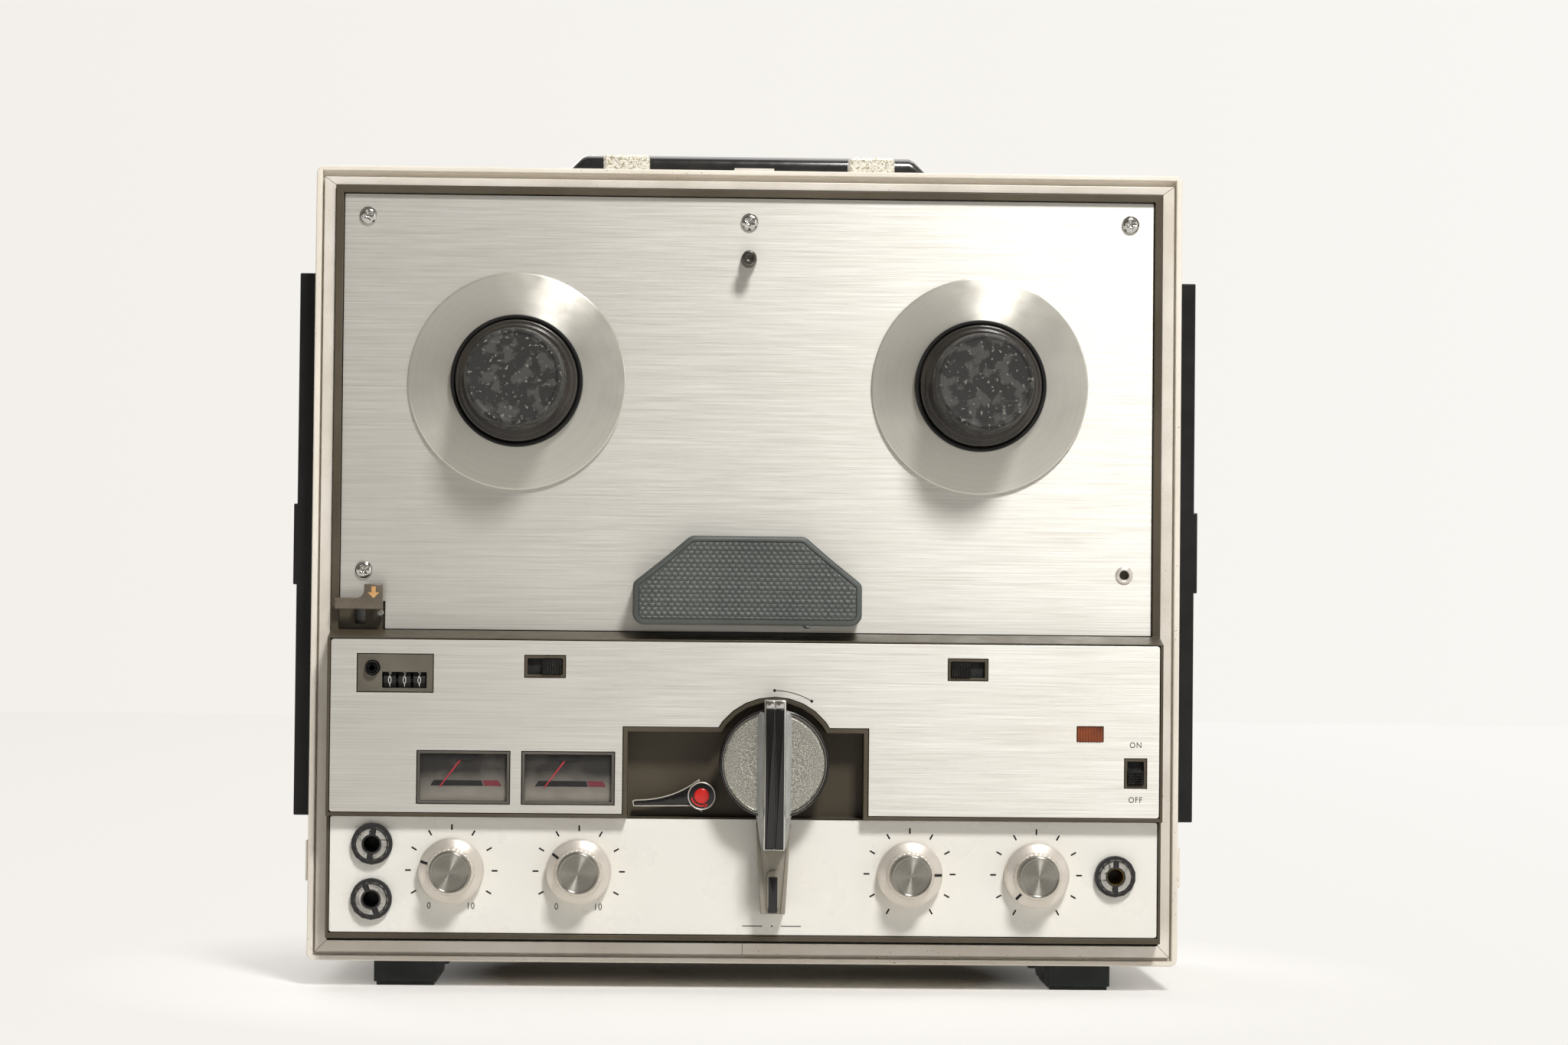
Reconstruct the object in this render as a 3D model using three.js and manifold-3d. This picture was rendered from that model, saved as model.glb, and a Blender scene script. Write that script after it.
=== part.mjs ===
// A portable reel-to-reel tape recorder, standing on its feet, seen from the front along +Y.
// Millimetres. X runs to the right, Y to the rear and Z up. In the sizes below, x is measured from
// the middle, y from the front edge of the case rim and z from the surface that the feet stand on.

import * as THREE from 'three';
import { mergeVertices } from 'three/addons/utils/BufferGeometryUtils.js';
import Module from 'manifold-3d';

const wasm = await Module();
wasm.setup();

// General clearances
const gap = 0.3;
const overrun = 1;

// Case
const caseHalfWidth = 171;
const caseHeight = 312.4;
const caseDepth = 152;
const caseWall = 5.5;
const caseCorner = 3;
const rimWidth = 2.4;
const rimTopWidth = 2.1;
const rimDepth = 3.3;
const footHeight = 10;
const caseBottom = footHeight;
const caseTop = caseBottom + caseHeight;
const insideHalfWidth = caseHalfWidth - caseWall;
const insideBottom = caseBottom + caseWall;
const insideTop = caseTop - caseWall;

// Front trim band
const trimSide = 3.2;
const trimHalfWidth = caseHalfWidth - trimSide;
const trimBandWidth = 4.5;
const trimTopBandWidth = 3.2;
const trimTopDrop = 4.4;
const trimBottomRise = 3.5;
const trimFront = 0.5;
const trimTop = caseTop - trimTopDrop;
const trimBottom = caseBottom + trimBottomRise;

// Deck bezel, one moulding that steps forward below the deck
const bezelHalfWidth = trimHalfWidth - trimBandWidth - gap;
const bezelTop = trimTop - trimTopBandWidth - gap;
const bezelBottomGap = 1.6;
const bezelBottom = trimBottom + trimBandWidth + bezelBottomGap;
const bezelBack = 5.3;
const bezelSkin = 2;
const deckFrameStand = 1.2;
const deckFrameWidth = 2.9;
const deckFrameTopWidth = 2.8;
const controlStand = 14;
const lowerStand = 9.5;
const ledgeTop = 139.8;
const ledgeBottom = 136.9;
const panelStep = 67.4;
const flangeWidth = 17;

// Deck plate
const plateThickness = 1.5;
const deckFront = 1;
const deckThickness = 2;
const deckBack = deckFront + deckThickness;
const deckHalfWidth = bezelHalfWidth - deckFrameWidth - gap;
const deckTop = bezelTop - deckFrameTopWidth - gap;
const deckBottom = ledgeTop + gap;

// Control plate and lower plate
const panelInset = 1.4;
const panelHalfWidth = bezelHalfWidth - panelInset;
const panelTop = 136.1;
const panelBottom = 69;
const panelCorner = 1;
const lowerPlateTop = panelStep - gap;
const lowerPlateBottom = 22;
const lowerPlateSet = 0.5;

// Well that the function knob stands in
const wellHalfWidth = 48;
const wellTop = 103.1;
const wellBumpRadius = 25.8;
const wellBorder = 1.7;
const wellFloor = 2;
const wellFloorThickness = 2;

// Reels: disc, stepped hub and cap
const reelInset = 68.5;
const reelHalfSpacing = deckHalfWidth - reelInset;
const reelHeight = 238;
const discRadius = 42.8;
const discThickness = 1.5;
const discSet = 0.7;
const hubRingRadius = 26;
const hubFlangeRadius = 23.9;
const hubStepRadius = 22;
const hubConeRadius = 19.4;
const hubRingStand = 3;
const hubFlangeStand = 6;
const hubStepStand = 8;
const hubConeStand = 15;
const spindleRadius = 4;
const spindleStand = 26;
const reelShaftRadius = 5;
const reelShaftReach = 24;
const capRadius = 18.5;
const capBaseRadius = 20;
const capStand = 33;
const capEdge = 1.4;
const capBoreDepth = 12;

// Head cover
const coverTopHalfWidth = 22.2;
const coverTop = 177.6;
const coverKinkHalfWidth = 32;
const coverKink = 169.2;
const coverHalfWidth = 44.6;
const coverShoulder = 159.1;
const coverBottom = 142.8;
const coverCorner = 2.8;
const coverStand = 19;
const coverWall = 2;

// Pause lever and its window
const pauseOverhang = 1.4;
const pauseLength = 18.7;
const pauseLeft = -deckHalfWidth - pauseOverhang;
const pauseRight = pauseLeft + pauseLength;
const pauseBottom = 147.7;
const pauseBarTop = 152.1;
const pauseTabWidth = 7.3;
const pauseTabLeft = pauseRight - pauseTabWidth;
const pauseTabTop = 157.5;
const pauseStand = 6;
const pauseThickness = 2;
const pauseStemInset = 9.2;
const pauseStemX = pauseLeft + pauseStemInset;
const pauseStemWidth = 3;
const pauseStemTall = 2.6;
const pauseStemReach = 9;
const pauseFillet = 3;
const pauseTravel = 5;
const pauseWindowClear = 0.5;
const pauseWindowRight = pauseRight + pauseWindowClear;
const pauseWindowTop = 151;

// Empty screw hole at the lower right of the deck
const screwLowInset = 10.8;
const screwLowX = deckHalfWidth - screwLowInset;
const screwLowHeight = 164;
const bushHole = 1.9;

// Counter
const counterInset = 10;
const digitInset = 9.9;
const digitSpan = 17.2;
const digitMargin = 2.8;
const counterWidth = digitInset + digitSpan + digitMargin;
const counterLeft = -panelHalfWidth + counterInset;
const counterRight = counterLeft + counterWidth;
const counterBottom = 115.4;
const counterTop = 130.6;
const counterDepth = 16;
const digitLeft = counterLeft + digitInset;
const digitRight = digitLeft + digitSpan;
const digitBottom = 117.15;
const digitTop = 123.4;
const digitLip = 1;
const digitWheelRadius = 4.6;
const digitWheelWidth = 4.8;
const digitWheelCount = 3;
const resetInset = 6.1;
const resetX = counterLeft + resetInset;
const resetHeight = 125;
const resetRadius = 2.7;
const resetProud = 2.6;
const resetLength = 6;
const resetTravel = 2;

// Slide switches
const switchFrame = 1;
const switchPocket = 3;
const sliderProud = 1.6;
const sliderLength = 7.4;
const trackClear = 35.1;
const trackWidth = 16.25;
const trackLeft = counterRight + trackClear;
const trackRight = trackLeft + trackWidth;
const trackBottom = 121.6;
const trackTop = 130.5;
const speedInset = 67.2;
const speedWidth = 15.9;
const speedRight = panelHalfWidth - speedInset;
const speedLeft = speedRight - speedWidth;
const speedBottom = 121.8;
const speedTop = 130.7;
const speakerSwitchInset = 4.7;
const speakerSwitchWidth = 9.1;
const speakerSwitchRight = panelHalfWidth - speakerSwitchInset;
const speakerSwitchLeft = speakerSwitchRight - speakerSwitchWidth;
const speakerSwitchBottom = 80.4;
const speakerSwitchTop = 92.4;
const speakerSliderLength = 5.4;

// Meters and pilot lens
const meterBottom = 72.2;
const meterTop = 93.15;
const meterWidth = 36.45;
const meterClear = 2.85;
const meterPitch = 40.7;
const rightMeterLeft = -wellHalfWidth - meterClear - meterWidth;
const leftMeterLeft = rightMeterLeft - meterPitch;
const meterDepth = 18;
const meterFaceDepth = 2.6;
const meterRim = 1;
const needleWidth = 0.7;
const needleThickness = 0.5;
const needleLength = 15.5;
const needleBoss = 1.6;
const needleRest = 37;
const pilotInset = 21.9;
const pilotWidth = 10.5;
const pilotRight = panelHalfWidth - pilotInset;
const pilotLeft = pilotRight - pilotWidth;
const pilotBottom = 98.5;
const pilotTop = 104.75;
const pilotProud = 0.6;
const pilotDepth = 8;

// Function knob, fast-wind lever and record lever
const functionX = 11;
const functionHeight = 89.3;
const functionRadius = 21.3;
const functionStand = 24;
const functionBack = 13;
const functionEdge = 1.6;
const functionShaft = 4;
const functionShaftReach = 12;
const functionBarWidth = 8.25;
const functionBarAbove = 24.8;
const functionBarBelow = 33.2;
const functionBarStand = 32;
const functionBarTailBack = 20;
const fastHubRadius = 17;
const fastHubThickness = 4;
const fastHubStand = 12.7;
const fastNeckRadius = 8;
const fastReach = 58.4;
const fastRoot = 23.3;
const fastRootWidth = 13.6;
const fastTipWidth = 9.6;
const fastStand = 19.5;
const fastBack = 10.5;
const recordX = -17;
const recordHeight = 76.1;
const recordHubRadius = 5.6;
const recordStand = 11;
const recordArmStand = 9;
const recordArmBack = 5;
const recordTipX = -43.1;
const recordTipDrop = 2;
const recordTipThickness = 2.7;
const recordShaft = 2;

// Knobs and jacks on the lower plate
const knobInset = 47.4;
const knobPitch = 49.6;
const knobOuterX = panelHalfWidth - knobInset;
const knobInnerX = knobOuterX - knobPitch;
const knobHeight = 46.2;
const knobFlangeRadius = 12.7;
const knobCapRadius = 7.9;
const knobCapStand = 9;
const knobFlangeThickness = 5;
const knobRingRadius = 10.6;
const knobRingStand = 2.7;
const knobNeckRadius = 9;
const knobShaft = 3;
const jackLeftInset = 16.5;
const jackRightInset = 16.6;
const jackLeftX = -panelHalfWidth + jackLeftInset;
const jackRightX = panelHalfWidth - jackRightInset;
const jackWindowHalfWidth = 10;
const jackWindowMargin = 4;
const jackHighHeight = 56.4;
const jackLowHeight = 35;
const jackMiddleHeight = 46;
const jackRingRadius = 8.1;
const jackRingStand = 2;
const jackNutRadius = 6.6;
const jackNutStand = 1.6;
const jackBore = 3.3;
const jackBodyRadius = 6;
const jackDepth = 24;
const jackWall = 2;

// Speaker doors and loudspeakers
const doorFront = 12;
const doorDepth = 128;
const doorThickness = 6.8;
const doorBottom = 66.2;
const doorTop = 280.8;
const doorSkin = 2;
const doorTabBottom = 157.3;
const doorTabTop = 189.3;
const doorTabProud = 1.3;
const doorTabLength = 8;
const louvreCount = 14;
const louvreHeight = 5;
const louvreMargin = 12;
const speakerY = 76;
const speakerHeight = 173.5;
const speakerRadius = 48;
const speakerHole = 43;
const speakerFlange = 3;
const speakerDepth = 34;
const speakerMagnetRadius = 20;

// Carrying handle and its brackets
const handleHalfWidth = 75;
const handleGripFront = 78;
const handleGripDepth = 18;
const handleGripBottom = 1;
const handleGripTop = 15.4;
const handleChamfer = 7;
const handlePivotY = 52;
const handlePivotRise = 5.6;
const handleArmHalfHeight = 3.7;
const handlePin = 1.6;
const bracketInner = 40.5;
const bracketWidth = 18.7;
const bracketFront = 45;
const bracketDepth = 13;
const bracketRise = 11.3;
const bracketCorner = 1.5;
const bracketCheek = 3;

// Feet
const footWidth = 24.6;
const footInset = 25.9;
const footInner = caseHalfWidth - footInset - footWidth;
const footFront = 6;
const footClear = 4;
const footSlant = 18;
const footTopLength = caseDepth / 2 - footFront - footClear;
const footBottomLength = footTopLength - footSlant;

// Rear cover, battery door and mains inlet
const coverPlateDepth = 8;
const coverPlateInset = 1.5;
const coverPlateWall = 3;
const batteryHalfWidth = 76;
const batteryBottom = 22;
const batteryTop = 92;
const batteryWall = 2;
const batteryDepth = 52;
const batteryDoorThickness = 3;
const inletInset = 46;
const inletX = -caseHalfWidth + inletInset;
const inletHeight = 60;
const inletWidth = 28;
const inletTall = 18;
const inletDepth = 16;
const inletWall = 2;
const inletPinRadius = 1.2;
const inletPinSpacing = 9;
const inletPinLength = 9;

// Mechanism behind the deck
const chassisFront = 16;
const chassisThickness = 2;
const bearingRadius = 8;
const bearingLength = 8;
const capstanX = 24;
const capstanHeight = 143.8;
const capstanBoss = 5;
const capstanRadius = 1.8;
const capstanStand = 17;
const capstanReach = 40;
const flywheelRadius = 34;
const flywheelFront = 22;
const flywheelThickness = 10;
const motorX = -40;
const motorHeight = 205;
const motorRadius = 32;
const motorFront = 44;
const motorLength = 58;
const motorPostRadius = 3;
const motorPostCount = 3;
const motorPostCircle = 26;
const motorPostStart = 40;
const motorPostPitch = 110;
const motorShaft = 2;
const pulleyRadius = 7;
const pulleyWidth = 8;
const beltThickness = 1.2;
const beltWidth = 5;
const rollerRadius = 6.5;
const rollerHeight = 10;
const rollerGap = 2.4;
const rollerBack = 4;
const armPivotX = 2;
const armPivotHeight = 160;
const armWidth = 5;
const armThickness = 1.5;
const armSetBack = 1;
const armPin = 1.2;
const headBracketLeft = -38;
const headBracketRight = 12;
const headBracketBottom = 144.5;
const headBracketTop = 154;
const headBracketThickness = 1.5;
const headBottom = 146;
const headWidth = 9;
const headTall = 9;
const headDepth = 11;
const eraseHeadX = -26;
const playHeadX = -4;
const transformerInset = 60.5;
const transformerX = insideHalfWidth - transformerInset;
const transformerWidth = 56;
const transformerDepth = 44;
const transformerHeight = 48;
const transformerCore = 18;
const boardBack = 11.6;
const boardThickness = 1.6;
const boardMargin = 17.8;
const boardHalfWidth = knobOuterX + boardMargin;
const boardBottom = 26;
const boardTop = 64;
const potRadius = 8;
const potFront = -4.6;
const standoffRadius = 2;

// Coarseness of round shapes, in steps a turn
const fineSteps = 48;
const roundSteps = 28;
const smallSteps = 14;
const cornerSteps = 4;

// The whole machine is centred over the origin of its own frame
const reachFront = capStand;
const reachRear = caseDepth + coverPlateDepth;
const frontToOrigin = (reachRear - reachFront) / 2;

// Solids and booleans
const cornersPerFace = 3;

/** Makes a solid for joining and cutting from a closed geometry. */
function solid(geometry) {
  const bare = geometry.index ? geometry.toNonIndexed() : geometry.clone();
  bare.deleteAttribute('normal');
  bare.deleteAttribute('uv');
  const merged = mergeVertices(bare);
  const corners = merged.index.array;
  const faces = [];
  for (let i = 0; i < corners.length; i += cornersPerFace) {
    const [a, b, c] = [corners[i], corners[i + 1], corners[i + 2]];
    if (a !== b && b !== c && c !== a) faces.push(a, b, c);
  }
  return new wasm.Manifold(new wasm.Mesh({
    numProp: 3,
    vertProperties: new Float32Array(merged.attributes.position.array),
    triVerts: new Uint32Array(faces),
  }));
}

/** Gives a solid's faces back as a geometry. */
function geometryOf(body) {
  const mesh = body.getMesh();
  const geometry = new THREE.BufferGeometry();
  geometry.setAttribute('position', new THREE.BufferAttribute(mesh.vertProperties, mesh.numProp));
  geometry.setIndex(new THREE.BufferAttribute(mesh.triVerts, 1));
  const flat = geometry.toNonIndexed();
  flat.computeVertexNormals();
  return flat;
}

/** Joins several solids into one. */
function joined(...bodies) {
  return bodies.reduce((whole, body) => whole.add(body));
}

/** Cuts several tools out of a solid. */
function cut(body, ...tools) {
  return tools.reduce((left, tool) => left.subtract(tool), body);
}

/** A block between two corners, given as ranges along X, Y and Z. */
function block([x0, x1], [y0, y1], [z0, z1]) {
  const geometry = new THREE.BoxGeometry(x1 - x0, y1 - y0, z1 - z0);
  geometry.translate((x0 + x1) / 2, (y0 + y1) / 2, (z0 + z1) / 2);
  return solid(geometry);
}

/** An outline in X and Z, carried along Y from front to back. */
function slab(shape, front, back, steps = cornerSteps) {
  const options = { depth: back - front, bevelEnabled: false, curveSegments: steps };
  const geometry = new THREE.ExtrudeGeometry(shape, options);
  geometry.rotateX(Math.PI / 2);
  geometry.translate(0, back, 0);
  return solid(geometry);
}

/** An outline in Y and Z, carried along X from left to right. */
function bar(shape, left, right) {
  const geometry = new THREE.ExtrudeGeometry(shape, { depth: right - left, bevelEnabled: false });
  const turn = new THREE.Matrix4().makeBasis(
    new THREE.Vector3(0, 1, 0), new THREE.Vector3(0, 0, 1), new THREE.Vector3(1, 0, 0));
  geometry.applyMatrix4(turn);
  geometry.translate(left, 0, 0);
  return solid(geometry);
}

/**
 * A profile of [radius, y] points turned about an axis along Y through x and z. It starts and ends
 * on the axis, or is closed here on its first point where it goes round a hole.
 */
function turned(profile, x, z, steps = roundSteps) {
  const whole = profile[0][0] > 0 ? [...profile, profile[0]] : profile;
  const points = whole.map(([radius, y]) => new THREE.Vector2(radius, y));
  if (THREE.ShapeUtils.area(points) < 0) points.reverse();
  const geometry = new THREE.LatheGeometry(points, steps);
  geometry.translate(x, 0, z);
  return solid(geometry);
}

/** A round rod along Y. */
function rod(x, z, radius, front, back, steps = smallSteps) {
  return turned([[0, front], [radius, front], [radius, back], [0, back]], x, z, steps);
}

/** A round rod or cone along X, with a radius at its left and right end. */
function crossRod(y, z, [leftRadius, rightRadius], [left, right], steps = smallSteps) {
  const geometry = new THREE.CylinderGeometry(leftRadius, rightRadius, right - left, steps);
  geometry.rotateZ(Math.PI / 2);
  geometry.translate((left + right) / 2, y, z);
  return solid(geometry);
}

/** A rectangle with round corners, between two ranges. */
function roundedOutline([x0, x1], [z0, z1], radius) {
  const shape = new THREE.Shape();
  shape.moveTo(x0 + radius, z0);
  shape.lineTo(x1 - radius, z0);
  shape.absarc(x1 - radius, z0 + radius, radius, -Math.PI / 2, 0, false);
  shape.lineTo(x1, z1 - radius);
  shape.absarc(x1 - radius, z1 - radius, radius, 0, Math.PI / 2, false);
  shape.lineTo(x0 + radius, z1);
  shape.absarc(x0 + radius, z1 - radius, radius, Math.PI / 2, Math.PI, false);
  shape.lineTo(x0, z0 + radius);
  shape.absarc(x0 + radius, z0 + radius, radius, Math.PI, Math.PI * 3 / 2, false);
  return shape;
}

/** An outline through a list of points. */
function outline(points) {
  const shape = new THREE.Shape();
  shape.moveTo(...points[0]);
  points.slice(1).forEach((point) => shape.lineTo(...point));
  return shape;
}

/** A range on the right (side 1), or its mirror image on the left (side -1). */
function sided(side, [low, high]) {
  return side > 0 ? [low, high] : [-high, -low];
}

/** The range of a length centred on a place. */
function around(middle, length) {
  return [middle - length / 2, middle + length / 2];
}

/** The range from minus to plus a half width. */
function halves(halfWidth) {
  return [-halfWidth, halfWidth];
}

/** Widens a range by the same amount at both ends. */
function grown([low, high], amount) {
  return [low - amount, high + amount];
}

// The machine and its materials
const recorder = new THREE.Group();
recorder.position.y = -frontToOrigin;

/** A material of a colour, a roughness and a metalness. */
function finish(color, roughness, metalness = 0) {
  return new THREE.MeshStandardMaterial({ color, roughness, metalness });
}

const creamPaint = finish('#d8d2c6', 0.5);
const trimMetal = finish('#b9b5ab', 0.35, 1);
const bezelPlastic = finish('#5d564c', 0.5);
const brushedPlate = finish('#cfccc4', 0.3, 1);
const creamPlate = finish('#e2ddd2', 0.4);
const spunMetal = finish('#c9c6bf', 0.3, 1);
const blackPlastic = finish('#1c1c1c', 0.4);
const blackRubber = finish('#3b3d3e', 0.8);
const coverPlastic = finish('#3a3d3e', 0.6);
const chrome = finish('#dcdcdc', 0.12, 1);
const steel = finish('#a8a8a4', 0.35, 1);
const brass = finish('#b89a54', 0.35, 1);
const amberPlastic = finish('#c4631c', 0.2);
const redPaint = finish('#c02018', 0.4);
const boardResin = finish('#7a5a30', 0.7);
const greyPlastic = finish('#8d8c88', 0.4);
const paper = finish('#26241f', 0.9);

/** Adds one named sub-part to the machine. */
function part(name, body, material) {
  const mesh = new THREE.Mesh(geometryOf(body), material);
  mesh.name = name;
  recorder.add(mesh);
}

// Windows in the control panel, as ranges along X and Z
const counterWindow = [[counterLeft, counterRight], [counterBottom, counterTop]];
const trackWindow = [[trackLeft, trackRight], [trackBottom, trackTop]];
const speedWindow = [[speedLeft, speedRight], [speedBottom, speedTop]];
const speakerWindow = [[speakerSwitchLeft, speakerSwitchRight], [speakerSwitchBottom, speakerSwitchTop]];
const leftMeterWindow = [[leftMeterLeft, leftMeterLeft + meterWidth], [meterBottom, meterTop]];
const rightMeterWindow = [[rightMeterLeft, rightMeterLeft + meterWidth], [meterBottom, meterTop]];
const pilotWindow = [[pilotLeft, pilotRight], [pilotBottom, pilotTop]];
const switchWindows = [trackWindow, speedWindow, speakerWindow];
const meterWindows = [leftMeterWindow, rightMeterWindow];
const throughWindows = [counterWindow, ...meterWindows, pilotWindow];
const panelWindows = [...switchWindows, ...throughWindows];

// Places on the lower plate
const knobPlaces = [-knobOuterX, -knobInnerX, knobInnerX, knobOuterX];
const microphonePlaces = [[jackLeftX, jackHighHeight], [jackLeftX, jackLowHeight]];
const headphonePlace = [jackRightX, jackMiddleHeight];
const jackPlaces = [...microphonePlaces, headphonePlace];

// Planes along Y
const controlBack = -controlStand + plateThickness;
const lowerFront = -lowerStand + lowerPlateSet;
const lowerBack = lowerFront + plateThickness;
const controlSeat = controlBack + gap;
const lowerSeat = lowerBack + gap;
const insertFront = -controlStand + gap;
const deckSeat = deckBack + gap;

/** The case: four walls, open at the front and back, with a stepped rim and two speaker holes. */
function caseShell() {
  const walls = slab(roundedOutline(halves(caseHalfWidth), [caseBottom, caseTop], caseCorner), 0, caseDepth);
  const inside = block(halves(insideHalfWidth), [-overrun, caseDepth + overrun], [insideBottom, insideTop]);
  const rimHeight = [caseBottom + rimTopWidth, caseTop - rimTopWidth];
  const rim = block(halves(caseHalfWidth - rimWidth), [-overrun, rimDepth], rimHeight);
  const reach = [-caseHalfWidth - overrun, caseHalfWidth + overrun];
  const speakerHoles = crossRod(speakerY, speakerHeight, [speakerHole, speakerHole], reach, roundSteps);
  return cut(walls, inside, rim, speakerHoles);
}

/** The flat aluminium frame just inside the rim. */
function frontTrim() {
  const back = rimDepth - gap;
  const outer = block(halves(trimHalfWidth), [trimFront, back], [trimBottom, trimTop]);
  const openHeight = [trimBottom + trimBandWidth, trimTop - trimTopBandWidth];
  const open = block(halves(trimHalfWidth - trimBandWidth), grown([trimFront, back], overrun), openHeight);
  return cut(outer, open);
}

/** The well's outline, drawn in by an amount: a rectangle and a round bump about the function knob. */
function wellSpace(inset, front, back, bottom) {
  const box = block(halves(wellHalfWidth - inset), [front, back], [bottom, wellTop - inset]);
  const bump = rod(functionX, functionHeight, wellBumpRadius - inset, front, back, roundSteps);
  const below = block(halves(wellHalfWidth), grown([front, back], overrun), [0, bottom]);
  return cut(joined(box, bump), below);
}

/** The side view of the bezel: deck frame, sloping ledge, control panel and lower panel. */
function bezelProfile() {
  return outline([
    [-deckFrameStand, bezelTop],
    [-deckFrameStand, ledgeTop],
    [-controlStand, ledgeBottom],
    [-controlStand, panelStep],
    [-lowerStand, panelStep],
    [-lowerStand, bezelBottom],
    [bezelBack, bezelBottom],
    [bezelBack, bezelTop],
  ]);
}

/** The moulding that frames the deck plate, the control plate and the lower plate. */
function deckBezel() {
  const seatHalf = panelHalfWidth + gap;
  const hollowHalf = bezelHalfWidth - bezelSkin;
  const hollowBack = bezelBack + overrun;
  const wholeHeight = [panelStep + bezelSkin, ledgeBottom - bezelSkin];
  const lowHeight = [bezelBottom + bezelSkin, panelStep - bezelSkin];
  const stemHalf = pauseStemWidth / 2 + gap + gap;
  const stemSlot = [pauseStemX - stemHalf, pauseStemX + stemHalf];
  const stemLow = pauseBottom - pauseTravel - gap - gap;
  const body = cut(
    bar(bezelProfile(), -bezelHalfWidth, bezelHalfWidth),
    block(halves(deckHalfWidth + gap), [-controlStand, deckSeat], [ledgeTop, deckTop + gap]),
    block(halves(deckHalfWidth - flangeWidth), [0, hollowBack], [ledgeTop + flangeWidth, deckTop - flangeWidth]),
    block(stemSlot, [0, hollowBack], [stemLow, ledgeTop + flangeWidth + overrun]),
    block(halves(seatHalf), [-controlStand - overrun, controlSeat], [panelBottom - gap, panelTop + gap]),
    block(halves(seatHalf), [-lowerStand - overrun, lowerSeat], [lowerPlateBottom - gap, panelStep]),
    block(halves(hollowHalf), [controlSeat + bezelSkin, hollowBack], wholeHeight),
    block(halves(hollowHalf), [lowerSeat + bezelSkin, hollowBack], lowHeight),
  );
  const frameY = [insertFront, controlSeat + bezelSkin];
  const frames = switchWindows.map(([x, z]) => block(grown(x, -gap), frameY, grown(z, -gap)));
  const pocketY = [insertFront - overrun, insertFront + switchPocket];
  const pockets = switchWindows.map(([x, z]) => {
    return block(grown(x, -gap - switchFrame), pocketY, grown(z, -gap - switchFrame));
  });
  const tub = wellSpace(gap, -controlStand, -wellFloor + wellFloorThickness, panelStep);
  const frontCut = [-controlStand - overrun, -lowerStand];
  const jackWindowY = [-lowerStand, hollowBack];
  const jackWindowZ = [lowerPlateBottom + jackWindowMargin, panelStep - jackWindowMargin];
  const tools = [
    wellSpace(gap + wellBorder, -controlStand - overrun, -wellFloor, panelStep + gap),
    block(halves(wellHalfWidth - gap - wellBorder), frontCut, [panelStep - overrun, panelBottom + overrun]),
    ...throughWindows.map(([x, z]) => block(x, [-controlStand, hollowBack], z)),
    ...knobPlaces.map((x) => rod(x, knobHeight, knobShaft + gap, -lowerStand, hollowBack)),
    ...[jackLeftX, jackRightX].map((x) => block(grown([x, x], jackWindowHalfWidth), jackWindowY, jackWindowZ)),
    rod(functionX, functionHeight, functionShaft + gap, -lowerStand, hollowBack),
    rod(recordX, recordHeight, recordShaft + gap, -lowerStand, hollowBack),
    rod(capstanX, capstanHeight, capstanRadius + gap, -lowerStand, hollowBack),
  ];
  return cut(joined(body, tub, ...frames), ...pockets, ...tools);
}

/** The brushed plate behind the reels. */
function deckPlate() {
  const plate = block(halves(deckHalfWidth), [deckFront, deckBack], [deckBottom, deckTop]);
  const through = grown([deckFront, deckBack], overrun);
  const pauseWindow = block([-deckHalfWidth - overrun, pauseWindowRight], through, [0, pauseWindowTop]);
  return cut(
    plate,
    pauseWindow,
    rod(-reelHalfSpacing, reelHeight, reelShaftRadius + gap, ...through),
    rod(reelHalfSpacing, reelHeight, reelShaftRadius + gap, ...through),
    rod(capstanX, capstanHeight, capstanRadius + gap, ...through),
    rod(screwLowX, screwLowHeight, bushHole, ...through),
    rod(armPivotX, armPivotHeight, armPin + gap, ...through),
  );
}

/** The plate that the counter, switches and meters show through. */
function controlPlate() {
  const through = grown([-controlStand, controlBack], overrun);
  const outer = roundedOutline(halves(panelHalfWidth), [panelBottom, panelTop], panelCorner);
  return cut(
    slab(outer, -controlStand, controlBack),
    wellSpace(0, ...through, panelBottom - overrun),
    ...panelWindows.map(([x, z]) => block(x, through, z)),
  );
}

/** The cream plate with the knobs and jacks. */
function lowerPlate() {
  const through = grown([lowerFront, lowerBack], overrun);
  const outer = roundedOutline(halves(panelHalfWidth), [lowerPlateBottom, lowerPlateTop], panelCorner);
  return cut(
    slab(outer, lowerFront, lowerBack),
    ...knobPlaces.map((x) => rod(x, knobHeight, knobShaft + gap, ...through)),
    ...jackPlaces.map(([x, z]) => rod(x, z, jackBodyRadius + gap, ...through)),
  );
}

/** One reel's spun disc. */
function reelDisc(x) {
  const bore = reelShaftRadius + gap;
  const front = discSet - discThickness;
  return turned([[bore, discSet], [discRadius, discSet], [discRadius, front], [bore, front]], x, reelHeight, fineSteps);
}

/** One reel's stepped hub, with its shaft behind and its spindle in front. */
function reelHub(x) {
  const back = discSet - discThickness - gap;
  const ring = back - hubRingStand;
  return turned([
    [0, -spindleStand],
    [spindleRadius, -spindleStand],
    [spindleRadius, -hubConeStand],
    [hubConeRadius - capEdge, -hubConeStand],
    [hubConeRadius, -hubStepStand],
    [hubStepRadius, -hubStepStand],
    [hubStepRadius, -hubFlangeStand],
    [hubFlangeRadius, -hubFlangeStand],
    [hubFlangeRadius, ring],
    [hubRingRadius, ring],
    [hubRingRadius, back],
    [reelShaftRadius, back],
    [reelShaftRadius, reelShaftReach],
    [0, reelShaftReach],
  ], x, reelHeight);
}

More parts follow.
